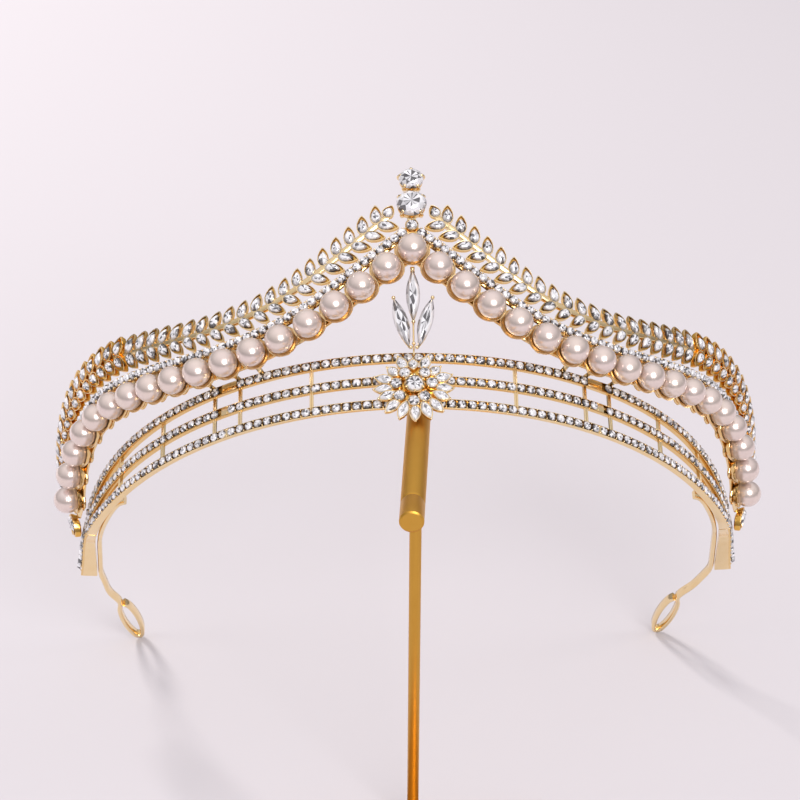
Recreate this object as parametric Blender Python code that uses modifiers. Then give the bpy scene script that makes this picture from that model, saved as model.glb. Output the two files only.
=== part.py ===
"""A gold tiara with rhinestone rows, pearls and laurel branches, hung on a small T-bar display stand.

Everything is in metres with +Z up. The viewer's side is -Y, and the origin is the middle of the stand's
foot, under its pole. The tiara is laid out flat first: s runs along the band from its middle, w runs up
its wall, and out stands proud of it. The layout is then bent round the band and tilted.
"""

import math

import bmesh
import bpy
import numpy as np
from mathutils import Matrix, Vector

# Band: a wall bent nearly to an arc, three rows high, with straight ends
HALF_BAND = 0.1086
BAND_SWEEP = math.radians(82.2)
BAND_EASE = 1.056
BAND_END_RUN = 0.0165
BAND_END_HEADING = math.radians(85.5)
BAND_TILT = math.radians(62.5)
ROW_PITCH = 0.0055
ROW_HEIGHT = 0.0023
ROW_DEPTH_FRONT = 0.0014
ROW_DEPTH_END = 0.0028
ROW_MEETING_POWER = 6.5
STONE_ROW_WIDTH = 0.0018
STONE_ROW_RISE = 0.0006
STONE_ROW_PROUD_END = 0.0012
ROW_STEPS = 27
POST_WIDTH = 0.0011
POST_STATIONS = (0.198, 0.35, 0.41, 0.553, 0.714)
# where a post stands in the depth of the rows, as shares of it
POST_BACK = 0.8
POST_FACE = 0.3
END_PLATE_STEPS = 9

# Crown: the wall that carries the pearls and the laurel, leaning outwards
CROWN_LEAN = 0.261
CROWN_RISE = 0.0254
PEARL_LINE = (
    # station along the half band, height as a share of the crown's rise
    (0.00, 1.000),
    (0.18, 0.457),
    (0.36, 0.288),
    (0.54, 0.353),
    (0.72, 0.421),
    (0.88, 0.223),
    (1.00, -0.100),
)
SIDE_SPREAD = 1.2

PEARL_DIAMETER = 0.006
PEARL_SPACE = 0.00073
PEARLS_PER_SIDE = 17
PEARLS_END = 1.05
STRIP_THICKNESS = 0.0006
STRIP_LIP = 0.0022
STRIP_NECK = 0.0008
STRIP_TOP = 0.0026
STRIP_STAND_OFF = 0.0002
# the strip's points between two pearls, as shares of their pitch
CUP_EDGE = 0.22
CUP_NECK = 0.5
LUG_WIDTH = 0.0012
LUG_STATIONS = (0.30, 0.35, 0.41)

CRYSTAL_OFFSET = 0.0041
CRYSTAL_WIDTH = 0.0016
CRYSTAL_BACK = 0.0018
CRYSTAL_FRONT = 0.0034
CRYSTAL_SHOULDER = 0.6
CRYSTAL_END = 0.95
CRYSTAL_STEPS = 37

STEM_OFFSET = 0.0088
STEM_WIDTH = 0.0009
STEM_BACK = 0.0014
STEM_FRONT = 0.0024
BRANCH_START = 0.0042
BRANCH_END = 1.0
STEM_STEPS = 24
LEAF_PITCH = 0.0036
LEAF_LENGTH = 0.0043
LEAF_WIDTH = 0.0022
UPPER_LEAF_ANGLE = math.radians(53)
LOWER_LEAF_ANGLE = math.radians(50)
END_LEAF_ANGLE = math.radians(25)
END_LEAF_LENGTH = 0.0028
FIRST_PAIR = 0.0022
LEAF_STONE_PLACE = 0.54
LEAF_ROOT_SHIFT = 0.00005
LEAF_STONE_DIAMETER = 0.0015
LEAF_STONE_FRONT = 0.0030

# Finial: two round stones over the peak pearl
FINIAL_ABOVE_PEAK = 0.0100
FINIAL_LOWER_DIAMETER = 0.0055
FINIAL_UPPER_DIAMETER = 0.0045
FINIAL_SPACE = 0.0005
FINIAL_LOWER_HEIGHT = CROWN_RISE + FINIAL_ABOVE_PEAK
FINIAL_STEP = (FINIAL_LOWER_DIAMETER + FINIAL_UPPER_DIAMETER) / 2 + FINIAL_SPACE
FINIAL_UPPER_HEIGHT = FINIAL_LOWER_HEIGHT + FINIAL_STEP
FINIAL_BACK = 0.0014
FINIAL_PLATE = 0.0008
# shares of a stone's diameter: its disc's two radii, its own rise, its claws' root and height
FINIAL_DISC = (0.40, 0.46)
# how far up the plate each disc's middle lies, as shares of its thickness
FINIAL_LOWER_LIFT = 0.5
FINIAL_UPPER_LIFT = 0.62
FINIAL_STONE_RISE = 0.42
CLAW_ROOT = 0.3
CLAW_RISE = 0.36
PRONG_WIDTH = 0.0008
FINIAL_LOWER_CLAWS = (38, 142, 230, 310)
FINIAL_UPPER_CLAWS = (18, 90, 162, 234, 306)

# Lily: three long marquise crystals under the peak pearl
LILY_UNDER_PEAK = 0.0037
LILY_TIP_HEIGHT = CROWN_RISE - LILY_UNDER_PEAK
LILY_MIDDLE_FOOT = 0.0107
LILY_FOOT_HEIGHT = 0.0050
LILY_SPREAD = 0.0037
LILY_SIDE_TIP = 0.0158
PETAL_WIDTH = 0.0027
# shares of that width: the side petals' own, how far their feet lie apart, and each stone's rise
SIDE_PETAL_WIDTH = 0.8
SIDE_PETAL_FOOT = 0.32
PETAL_RISE = 0.5
LILY_BACK = 0.0016
LILY_PLATE = 0.0006

# Flower: the cluster at the middle of the band
FLOWER_HEIGHT = -0.0025
FLOWER_STONE_DIAMETER = 0.0037
FLOWER_RING_RADIUS = 0.0034
FLOWER_RING_DIAMETER = 0.0019
FLOWER_RING_COUNT = 8
FLOWER_PETAL_INNER = 0.0045
FLOWER_PETAL_OUTER = 0.0086
FLOWER_PETAL_WIDTH = 0.0019
FLOWER_PLATE = 0.0006
# the plate's radius as a share of where the petals begin
FLOWER_PLATE_REACH = 1.2
# a set petal's width and rise as shares of its room, and the round stones' rises of their diameters
FLOWER_PETAL_FILL = 0.84
FLOWER_PETAL_RISE = 0.55
FLOWER_RING_RISE = 0.7
FLOWER_STONE_RISE = 0.5
FLOWER_PETAL_ANGLES = (8, 36, 63, 118, 146, 170, 188, 205, 228, 250, 270, 290, 308, 328, 348)

# End wires: flat springy wires with an open loop at the end
WIRE_THICKNESS = 0.0010
WIRE_HEIGHT = 0.0014
WIRE_START = 0.083
WIRE_RUN = 0.0162
WIRE_INWARD_LEFT = 0.0018
WIRE_INWARD_RIGHT = 0.0046
LOOP_LENGTH = 0.0185
LOOP_WIDTH = 0.0044
LOOP_TURN = math.radians(9)
LOOP_START = math.radians(-62)
LOOP_SWEEP = math.radians(300)
LOOP_STEPS = 16
# where the free run bends inwards, as shares of its length
WIRE_BENDS = (0.35, 0.7)

# Stand: an arm across a pole on a plate
ARM_DIAMETER = 0.0049
ARM_REACH = 0.025
ARM_TURN = math.radians(-3.8)
ARM_GROOVE_PLACE = 0.0065
ARM_GROOVE = 0.0002
ARM_RIM = 0.0004
BAND_BEHIND_POLE = 0.017
POLE_DIAMETER = 0.0025
FOOT_WIDTH = 0.062
FOOT_LENGTH = 0.046
FOOT_THICKNESS = 0.003
FOOT_BEHIND_POLE = 0.005

GAP = 0.0003
FLOOR_GAP = 0.0001

PEARL_OUT = STRIP_STAND_OFF + STRIP_THICKNESS + GAP + PEARL_DIAMETER / 2
ALONG_X = np.array((1.0, 0.0, 0.0))
TO_ENDS = np.array((0.0, math.cos(BAND_TILT), -math.sin(BAND_TILT)))
UP_WALL = np.array((0.0, math.sin(BAND_TILT), math.cos(BAND_TILT)))

GOLD = ("gold", (0.86, 0.62, 0.33, 1.0), 0.22, 1.0)
SATIN_GOLD = ("satin_gold", (0.62, 0.42, 0.12, 1.0), 0.38, 1.0)
PEARL = ("pearl", (0.88, 0.80, 0.76, 1.0), 0.25, 0.0)
CRYSTAL = ("crystal", (0.85, 0.87, 0.90, 1.0), 0.05, 0.0)


def cleared_scene():
    """Remove what the file holds and return the two collections."""
    for old in list(bpy.data.objects):
        bpy.data.objects.remove(old, do_unlink=True)
    made = []
    for name in ("tiara", "cutters"):
        collection = bpy.data.collections.new(name)
        bpy.context.scene.collection.children.link(collection)
        made.append(collection)
    return made


def material(kind):
    """Return the material of this kind, made once."""
    name, colour, roughness, metallic = kind
    found = bpy.data.materials.get(name)
    if found:
        return found
    made = bpy.data.materials.new(name)
    made.use_nodes = True
    shader = made.node_tree.nodes["Principled BSDF"]
    shader.inputs["Base Color"].default_value = colour
    shader.inputs["Roughness"].default_value = roughness
    shader.inputs["Metallic"].default_value = metallic
    return made


def curve_through(knots, at):
    """Natural cubic spline through the knots, read at the given stations."""
    x = np.array([k[0] for k in knots])
    y = np.array([k[1] for k in knots])
    step = np.diff(x)
    slope = np.diff(y) / step
    count = len(x)
    left = np.eye(count)
    right = np.zeros(count)
    for i in range(1, count - 1):
        left[i, i - 1:i + 2] = (step[i - 1], 2 * (step[i - 1] + step[i]), step[i])
        right[i] = 6 * (slope[i] - slope[i - 1])
    bend = np.linalg.solve(left, right)
    at = np.asarray(at, dtype=float)
    i = np.clip(np.searchsorted(x, at) - 1, 0, count - 2)
    t = at - x[i]
    h = step[i]
    first = slope[i] - h * (2 * bend[i] + bend[i + 1]) / 6
    return y[i] + t * (first + t * (bend[i] / 2 + t * (bend[i + 1] - bend[i]) / (6 * h)))


def band_line():
    """The right half of the band's line in its own plane: runs, places and headings.

    The heading grows evenly, a little faster at the front, and the places are its running sum.
    """
    run = np.linspace(0, HALF_BAND + BAND_END_RUN * 2, 1500)
    share = np.clip(1 - run / HALF_BAND, 0, 1)
    past = np.clip((run - HALF_BAND) / BAND_END_RUN * 4, 0, 1)
    heading = BAND_SWEEP * (1 - share ** BAND_EASE) + (BAND_END_HEADING - BAND_SWEEP) * past
    step = run[1] - run[0]
    middle = (heading[1:] + heading[:-1]) / 2
    across = np.concatenate(((0,), np.cumsum(np.cos(middle)) * step))
    back = np.concatenate(((0,), np.cumsum(np.sin(middle)) * step))
    return run, across, back, heading


BAND_LINE = band_line()


def band_plan(s):
    """Place and heading of the band's line in its own plane."""
    run, across, back, heading = BAND_LINE
    side = np.sign(s)
    at = np.abs(s)
    return (side * np.interp(at, run, across), np.interp(at, run, back),
            side * np.interp(at, run, heading))


def plane_point(across, back, w=0.0):
    """A point of the band's plane, w up its wall, in the room."""
    across, back, w = np.broadcast_arrays(across, back, w)
    flat = across[..., None] * ALONG_X + back[..., None] * TO_ENDS + w[..., None] * UP_WALL
    return flat + np.array((0.0, BAND_BEHIND_POLE, band_front_height()))


def band_point(s, w, out, lean=0.0):
    """A point of the flat layout, bent round the band."""
    across, back, heading = band_plan(s)
    proud = np.asarray(out) + lean * np.asarray(w)
    return plane_point(across + proud * np.sin(heading), back - proud * np.cos(heading), w)


def bent(mesh, lean):
    """Bend a mesh of the flat layout, whose x, y and z are s, w and out."""
    flat = np.empty(len(mesh.vertices) * 3)
    mesh.vertices.foreach_get("co", flat)
    flat = flat.reshape(-1, 3)
    mesh.vertices.foreach_set("co", band_point(flat[:, 0], flat[:, 1], flat[:, 2], lean).ravel())
    mesh.update()


def loop_reach():
    """How far the end loop's tip lies from the band's front, along the band's plane."""
    end_back = float(band_plan(HALF_BAND + BAND_END_RUN)[1])
    return end_back + WIRE_RUN + LOOP_LENGTH * math.cos(LOOP_TURN)


def band_front_height():
    """Height of the middle row's front, so that the end loops stand on the floor."""
    drop = loop_reach() * math.sin(BAND_TILT)
    return drop + WIRE_HEIGHT / 2 * math.cos(BAND_TILT) + FLOOR_GAP


def row_height(row, s):
    """Height on the wall of one row, which meets the others at the band's ends."""
    share = np.clip(np.abs(s) / HALF_BAND, 0, 1)
    return row * ROW_PITCH * (1 - share ** ROW_MEETING_POWER)


def pearl_height(run):
    """Height on the wall of the pearls' line, at a distance from its peak."""
    return CROWN_RISE * curve_through(PEARL_LINE, np.asarray(run) / HALF_BAND)


def spread(run):
    """How much wider the crown's dressing is at the sides than at the front."""
    share = np.clip((np.asarray(run) / HALF_BAND - 0.35) / 0.35, 0, 1)
    return 1 + (SIDE_SPREAD - 1) * share * share * (3 - 2 * share)


def beside_pearls(run, offset):
    """Points at this distance above the right half of the pearls' line, at right angles to it."""
    small = HALF_BAND * 1e-4
    slope = (pearl_height(run + small) - pearl_height(run)) / small
    length = np.sqrt(1 + slope ** 2)
    return run - slope / length * offset, pearl_height(run) + offset / length


def line_height(s, offset):
    """Height of a line that keeps this distance above the pearls' line, wider at the sides."""
    run = np.linspace(-CROWN_RISE, HALF_BAND * 1.1, 600)
    beside, height = beside_pearls(run, offset * spread(run))
    return np.interp(np.abs(s), beside, height)


def way_to_peak(s, offset):
    """Direction of such a line towards the peak, as an angle in the flat layout."""
    small = HALF_BAND * 1e-3
    rise = float(line_height(abs(s) - small, offset) - line_height(abs(s) + small, offset))
    return math.atan2(rise, -2 * small if s > 0 else 2 * small)


def even_stations(first, pitch, last, offset):
    """Stations along such a line, this far apart as measured on the wall."""
    fine = np.linspace(first, last, 1200)
    place = band_point(fine, line_height(fine, offset), PEARL_OUT, CROWN_LEAN)
    way = np.concatenate(((0,), np.cumsum(np.linalg.norm(np.diff(place, axis=0), axis=1))))
    return np.interp(np.arange(0, way[-1], pitch), way, fine)


def pearl_stations():
    """Where the pearls sit, from the peak outwards."""
    pitch = PEARL_DIAMETER + PEARL_SPACE
    return even_stations(0.0, pitch, HALF_BAND * PEARLS_END, 0.0)[:PEARLS_PER_SIDE + 1]


def mesh_object(name, mesh, kind, collection):
    """Put a mesh in the scene as one named, flat-shaded piece."""
    mesh.name = name
    mesh.materials.clear()
    mesh.materials.append(material(kind))
    thing = bpy.data.objects.new(name, mesh)
    collection.objects.link(thing)
    return thing


def closed_mesh(name, solid):
    """Turn a bmesh into a mesh with its faces pointing out."""
    bmesh.ops.recalc_face_normals(solid, faces=solid.faces)
    mesh = bpy.data.meshes.new(name)
    solid.to_mesh(mesh)
    solid.free()
    return mesh


def add_loft(solid, rings):
    """Loft a closed solid through rings of points, all with the same count."""
    rows = [[solid.verts.new(tuple(point)) for point in ring] for ring in rings]
    count = len(rows[0])
    for lower, upper in zip(rows, rows[1:]):
        for i in range(count):
            j = (i + 1) % count
            solid.faces.new((lower[i], lower[j], upper[j], upper[i]))
    solid.faces.new(rows[0][::-1])
    solid.faces.new(rows[-1])


# a stone's rings from its back to its table: share of its rise, share of its width
LOOSE_STONE = ((0.0, 0.86), (0.45, 1.0), (1.0, 0.56))
SET_STONE = ((0.0, 1.0), (1.0, 0.56))


def add_stone(solid, centre, back, radius, rise, sides=8, levels=SET_STONE):
    """A round cut stone in the flat layout: its crown facets and table, and a girdle if it is loose."""
    rings = []
    for level, share in levels:
        ring = []
        for i in range(sides):
            angle = math.tau * (i + 0.5) / sides
            ring.append((centre[0] + radius * share * math.cos(angle),
                         centre[1] + radius * share * math.sin(angle), back + rise * level))
        rings.append(ring)
    add_loft(solid, rings)


MARQUISE = (
    # along its length, across its width, both as shares of the half sizes
    (-1.0, 0.0),
    (-0.55, -0.66),
    (0.0, -1.0),
    (0.55, -0.66),
    (1.0, 0.0),
    (0.55, 0.66),
    (0.0, 1.0),
    (-0.55, 0.66),
)


def marquise(tail, tip, width, share=1.0):
    """Eight points round a pointed oval from tail to tip, shrunk to a share about its middle."""
    tail, tip = Vector(tail), Vector(tip)
    middle = (tail + tip) / 2
    half = (tip - tail) / 2
    side = Vector((-half.y, half.x)).normalized() * width / 2
    return [middle + half * along * share + side * across * share for along, across in MARQUISE]


def add_marquise_stone(solid, tail, tip, width, back, rise, levels=SET_STONE):
    """A pointed cut stone: its crown facets and table, and a girdle if it is loose."""
    add_loft(solid, [[(p.x, p.y, back + rise * level) for p in marquise(tail, tip, width, share)]
                     for level, share in levels])


def add_box(solid, low, high):
    """A plain block between two corners."""
    made = bmesh.ops.create_cube(solid, size=1.0)["verts"]
    low, high = Vector(low), Vector(high)
    bmesh.ops.scale(solid, vec=high - low, verts=made)
    bmesh.ops.translate(solid, vec=(low + high) / 2, verts=made)


def united(name, first, second, cutters):
    """Join two bmeshes of closed shells into one body with an exact union."""
    base = mesh_object(name, closed_mesh(name, first), GOLD, cutters)
    other = mesh_object(name + "_joined", closed_mesh(name + "_joined", second), GOLD, cutters)
    other.hide_render = True
    other.display_type = "WIRE"
    union = base.modifiers.new("union", "BOOLEAN")
    union.operation = "UNION"
    union.object = other
    union.solver = "EXACT"
    depsgraph = bpy.context.evaluated_depsgraph_get()
    mesh = bpy.data.meshes.new_from_object(base.evaluated_get(depsgraph))
    for used in (base, other):
        bpy.data.objects.remove(used, do_unlink=True)
    tidy = bmesh.new()
    tidy.from_mesh(mesh)
    bmesh.ops.remove_doubles(tidy, verts=tidy.verts, dist=1e-6)
    bmesh.ops.dissolve_degenerate(tidy, edges=tidy.edges, dist=1e-6)
    tidy.to_mesh(mesh)
    tidy.free()
    return mesh


def row_depth(s):
    """Depth of the rows' strip, deeper towards the band's ends."""
    share = min(abs(s) / (HALF_BAND + BAND_END_RUN), 1)
    return ROW_DEPTH_FRONT + (ROW_DEPTH_END - ROW_DEPTH_FRONT) * share


def stone_row_proud(s):
    """How far the stones' chain stands out, more towards the band's ends."""
    share = min(abs(s) / (HALF_BAND + BAND_END_RUN), 1)
    return STONE_ROW_PROUD_END * share ** 8


def row_section(row, s):
    """One section of a row: its strip, and the stones' chain standing on it."""
    middle = float(row_height(row, s))
    half, stone = ROW_HEIGHT / 2, STONE_ROW_WIDTH / 2
    proud = stone_row_proud(s)
    back, face = -row_depth(s), proud - STONE_ROW_RISE
    outline = ((-half, back), (half, back), (half, face), (stone, proud), (-stone, proud), (-half, face))
    return [(s, middle + w, out) for w, out in outline]


def row_end_station():
    """Where a row's edge meets the middle row's edge."""
    left = 1 - (ROW_HEIGHT + GAP) / ROW_PITCH
    return HALF_BAND * left ** (1 / ROW_MEETING_POWER)


def build_band(parts, cutters):
    """Three soldered rows with posts between them and a plain plate at each end."""
    rows = bmesh.new()
    end = row_end_station()
    for row in (-1, 0, 1):
        steps = np.linspace(-end, end, ROW_STEPS)
        add_loft(rows, [row_section(row, s) for s in steps])
    ties = bmesh.new()
    for side in (-1, 1):
        for station in POST_STATIONS:
            s = side * station * HALF_BAND
            half = POST_WIDTH / 2
            back = -row_depth(s)
            # each post reaches into the outer rows and runs behind the middle one
            low = float(row_height(-1, s))
            high = float(row_height(1, s))
            add_box(ties, (s - half, low, back * POST_BACK), (s + half, high, back * POST_FACE))
        plate = []
        inner = end - ROW_HEIGHT
        last = HALF_BAND + BAND_END_RUN
        for s in np.linspace(inner, last, END_PLATE_STEPS):
            tall = float(row_height(1, s)) + ROW_HEIGHT / 2 - GAP / 3
            deep = -row_depth(s) + GAP / 4
            face = stone_row_proud(s) - GAP / 2
            plate.append([(side * s, -tall, deep), (side * s, tall, deep),
                          (side * s, tall, face), (side * s, -tall, face)])
        add_loft(ties, plate)
    mesh = united("band", rows, ties, cutters)
    bent(mesh, 0.0)
    mesh_object("band", mesh, GOLD, parts)


def strip_edges(distance):
    """Lower edge of the pearls' strip at a distance from the nearest pearl's middle."""
    reach = max(STRIP_LIP ** 2 - distance ** 2, 0) ** 0.5
    return max(reach, STRIP_NECK)


def build_pearl_strip(parts, cutters):
    """The scalloped strip behind the pearls, with lugs down to the top row."""
    stations = pearl_stations()
    places = []
    for i, s in enumerate(stations):
        step = (stations[i + 1] - s) if i + 1 < len(stations) else (s - stations[i - 1])
        if i:
            places += [(s - step * CUP_EDGE, CUP_EDGE), (s, 0.0), (s + step * CUP_EDGE, CUP_EDGE)]
            if i + 1 < len(stations):
                places.append((s + step * CUP_NECK, CUP_NECK))
        else:
            places += [(0.0, 0.0), (step * CUP_EDGE, CUP_EDGE), (step * CUP_NECK, CUP_NECK)]
    pitch = PEARL_DIAMETER + PEARL_SPACE
    half = [(s, strip_edges(share * pitch)) for s, share in places]
    rings = []
    back, front = STRIP_STAND_OFF, STRIP_STAND_OFF + STRIP_THICKNESS
    both = [(-1, run, low) for run, low in half[:0:-1]] + [(1, run, low) for run, low in half]
    for side, run, low in both:
        below = [float(v) for v in beside_pearls(run, -low)]
        above = [float(v) for v in beside_pearls(run, STRIP_TOP)]
        if run == 0:
            below, above = (0.0, pearl_height(0.0) - low), (0.0, pearl_height(0.0) + STRIP_TOP)
        below, above = (side * below[0], below[1]), (side * above[0], above[1])
        rings.append([(*below, back), (*above, back), (*above, front), (*below, front)])
    strip = bmesh.new()
    add_loft(strip, rings)
    lugs = bmesh.new()
    for side in (-1, 1):
        for station in LUG_STATIONS:
            s = side * station * HALF_BAND
            foot = float(row_height(1, s)) + ROW_HEIGHT / 2 + GAP
            head = float(pearl_height(abs(s)))
            add_box(lugs, (s - LUG_WIDTH / 2, foot, STRIP_STAND_OFF - CROWN_LEAN * foot - STRIP_THICKNESS),
                    (s + LUG_WIDTH / 2, head, STRIP_STAND_OFF + STRIP_THICKNESS / 2))
    mesh = united("pearl_strip", strip, lugs, cutters)
    bent(mesh, CROWN_LEAN)
    mesh_object("pearl_strip", mesh, GOLD, parts)


def build_pearls(parts):
    """The pearls, each on its cup of the strip."""
    for i, station in enumerate(pearl_stations()):
        for side, name in ((1, "right"), (-1, "left")):
            if i == 0 and side < 0:
                continue
            s = side * station
            place = band_point(s, float(pearl_height(station)), PEARL_OUT, CROWN_LEAN)
            ball = bmesh.new()
            bmesh.ops.create_uvsphere(ball, u_segments=10, v_segments=6, radius=PEARL_DIAMETER / 2)
            pearl = mesh_object("pearl_peak" if i == 0 else "pearl_%s_%02d" % (name, i),
                                closed_mesh("pearl", ball), PEARL, parts)
            pearl.data.shade_smooth()
            pearl.location = place


def build_crystal_row(parts):
    """The chain of small stones along the pearls' upper side."""
    row = bmesh.new()
    half = CRYSTAL_WIDTH / 2
    shoulder = CRYSTAL_BACK + (CRYSTAL_FRONT - CRYSTAL_BACK) * CRYSTAL_SHOULDER
    outline = ((-half, CRYSTAL_BACK), (half, CRYSTAL_BACK), (half, shoulder),
               (half / 2, CRYSTAL_FRONT), (-half / 2, CRYSTAL_FRONT), (-half, shoulder))
    last = HALF_BAND * CRYSTAL_END
    add_loft(row, [[(s, float(line_height(s, CRYSTAL_OFFSET + w)), out) for w, out in outline]
                   for s in np.linspace(-last, last, CRYSTAL_STEPS)])
    mesh = closed_mesh("crystal_row", row)
    bent(mesh, CROWN_LEAN)
    mesh_object("crystal_row", mesh, CRYSTAL, parts)


def add_leaf(leaves, s, turn, length):
    """One leaf on the stem: a pointed rim whose faces rise to the table of its stone."""
    way = way_to_peak(s, STEM_OFFSET) + (turn if s < 0 else -turn)
    along = Vector((math.cos(way), math.sin(way)))
    side = math.copysign(1.0, turn)
    root = Vector((s, float(line_height(s, STEM_OFFSET + side * LEAF_ROOT_SHIFT))))
    size = 1 + (float(spread(abs(s))) - 1) / 3
    stone = root + along * length * LEAF_STONE_PLACE * size
    table = []
    for i in range(8):
        angle = way + math.pi + math.tau * i / 8
        corner = stone + Vector((math.cos(angle), math.sin(angle))) * LEAF_STONE_DIAMETER / 2 * size
        table.append((*corner, LEAF_STONE_FRONT))
    outline = marquise(root, root + along * length * size, LEAF_WIDTH * size)
    rim = [(p.x, p.y, STEM_BACK + GAP) for p in outline]
    add_loft(leaves, [rim, table])


def build_laurel(side, name, parts, cutters):
    """One branch: a stem along the crown, with leaves in pairs and one at its end."""
    stem = bmesh.new()
    last = HALF_BAND * BRANCH_END
    half = STEM_WIDTH / 2
    outline = ((-half, STEM_BACK), (half, STEM_BACK), (half, STEM_FRONT), (-half, STEM_FRONT))
    add_loft(stem, [[(side * s, float(line_height(s, STEM_OFFSET + w)), out) for w, out in outline]
                    for s in np.linspace(BRANCH_START, last, STEM_STEPS)])
    leaves = bmesh.new()
    add_leaf(leaves, side * (BRANCH_START + STEM_WIDTH / 2), END_LEAF_ANGLE, END_LEAF_LENGTH)
    for s in even_stations(BRANCH_START + FIRST_PAIR, LEAF_PITCH, last - STEM_WIDTH, STEM_OFFSET):
        add_leaf(leaves, side * float(s), UPPER_LEAF_ANGLE, LEAF_LENGTH)
        add_leaf(leaves, side * float(s), -LOWER_LEAF_ANGLE, LEAF_LENGTH)
    mesh = united(name, stem, leaves, cutters)
    bent(mesh, CROWN_LEAN)
    mesh_object(name, mesh, GOLD, parts)


def build_finial(parts, cutters):
    """Two round stones one above the other, in a ring setting and a claw."""
    plate = bmesh.new()
    claws = bmesh.new()
    stones = ((FINIAL_LOWER_HEIGHT, FINIAL_LOWER_DIAMETER, "finial_stone_lower", FINIAL_LOWER_CLAWS),
              (FINIAL_UPPER_HEIGHT, FINIAL_UPPER_DIAMETER, "finial_stone_upper", FINIAL_UPPER_CLAWS))
    front = FINIAL_BACK + FINIAL_PLATE
    foot = FINIAL_LOWER_HEIGHT - FINIAL_LOWER_DIAMETER / 2 - PRONG_WIDTH
    add_box(plate, (-PRONG_WIDTH, foot, FINIAL_BACK), (PRONG_WIDTH, FINIAL_UPPER_HEIGHT, front))
    narrow, wide = FINIAL_DISC
    for height, diameter, name, angles in stones:
        disc = bmesh.ops.create_cone(claws, cap_ends=True, segments=12, radius1=diameter * narrow,
                                     radius2=diameter * wide, depth=FINIAL_PLATE * 1.1)["verts"]
        share = FINIAL_LOWER_LIFT if name.endswith("lower") else FINIAL_UPPER_LIFT
        lift = FINIAL_BACK + FINIAL_PLATE * share
        bmesh.ops.translate(claws, vec=(0, height, lift), verts=disc)
        stone = bmesh.new()
        rise = diameter * FINIAL_STONE_RISE
        girdle = diameter / 2 - PRONG_WIDTH / 2
        add_stone(stone, (0, height), front + GAP * 1.6, girdle, rise, 10, LOOSE_STONE)
        mesh = closed_mesh(name, stone)
        bent(mesh, CROWN_LEAN)
        mesh_object(name, mesh, CRYSTAL, parts)
    first_union = united("finial_back", plate, claws, cutters)
    body = bmesh.new()
    body.from_mesh(first_union)
    prongs = bmesh.new()
    for height, diameter, name, angles in stones:
        for angle in angles:
            inner = diameter / 2 - PRONG_WIDTH / 2 + GAP
            outer = inner + PRONG_WIDTH
            rings = []
            turn = Matrix.Rotation(math.radians(angle), 2)
            for level, start, end in ((FINIAL_BACK + GAP / 3, diameter * CLAW_ROOT, outer * 0.9),
                                      (front - GAP / 3, diameter * CLAW_ROOT, outer),
                                      (front + GAP, inner, outer + GAP),
                                      (front + diameter * CLAW_RISE, inner + GAP / 2, outer + GAP)):
                ring = []
                for x, y in ((start, -1), (end, -1), (end, 1), (start, 1)):
                    p = turn @ Vector((x, y * PRONG_WIDTH / 2))
                    ring.append((p.x, p.y + height, level))
                rings.append(ring)
            add_loft(prongs, rings)
    mesh = united("finial_setting", body, prongs, cutters)
    bpy.data.meshes.remove(first_union)
    bent(mesh, CROWN_LEAN)
    mesh_object("finial_setting", mesh, GOLD, parts)


def build_lily(parts, cutters):
    """Three long pointed crystals on a short stem between the peak pearl and the flower."""
    apart = PETAL_WIDTH * SIDE_PETAL_FOOT
    petals = (("lily_petal_middle", (0, LILY_MIDDLE_FOOT), (0, LILY_TIP_HEIGHT)),
              ("lily_petal_left", (-apart, LILY_FOOT_HEIGHT + GAP), (-LILY_SPREAD, LILY_SIDE_TIP)),
              ("lily_petal_right", (apart, LILY_FOOT_HEIGHT + GAP), (LILY_SPREAD, LILY_SIDE_TIP)))
    front = LILY_BACK + LILY_PLATE
    half = PRONG_WIDTH / 2
    top = float(pearl_height(0.0)) - STRIP_LIP - GAP
    foot = ROW_PITCH - ROW_HEIGHT / 2
    frame = bmesh.new()
    add_box(frame, (-half * 0.8, foot + half, LILY_BACK), (half * 0.8, top - half, front))
    twigs = bmesh.new()
    # a bead at the strip and a foot at the top row carry the frame
    add_box(twigs, (-half, top - half * 2, STRIP_STAND_OFF), (half, top, front + GAP / 4))
    add_box(twigs, (-half, foot, GAP), (half, foot + half * 2, front + GAP / 4))
    for name, tail, tip in petals:
        stone = bmesh.new()
        width = PETAL_WIDTH if name.endswith("middle") else PETAL_WIDTH * SIDE_PETAL_WIDTH
        add_marquise_stone(stone, tail, tip, width, front + GAP, PETAL_WIDTH * PETAL_RISE, LOOSE_STONE)
        mesh = closed_mesh(name, stone)
        bent(mesh, CROWN_LEAN)
        mesh_object(name, mesh, CRYSTAL, parts)
        if not name.endswith("middle"):
            tail = Vector((0, foot + half))
            add_loft(twigs, [[(p.x, p.y, LILY_BACK + GAP / 4) for p in marquise(tail, tip, PRONG_WIDTH)],
                             [(p.x, p.y, front - GAP / 4) for p in marquise(tail, tip, PRONG_WIDTH)]])
    mesh = united("lily_frame", frame, twigs, cutters)
    bent(mesh, CROWN_LEAN)
    mesh_object("lily_frame", mesh, GOLD, parts)


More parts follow.
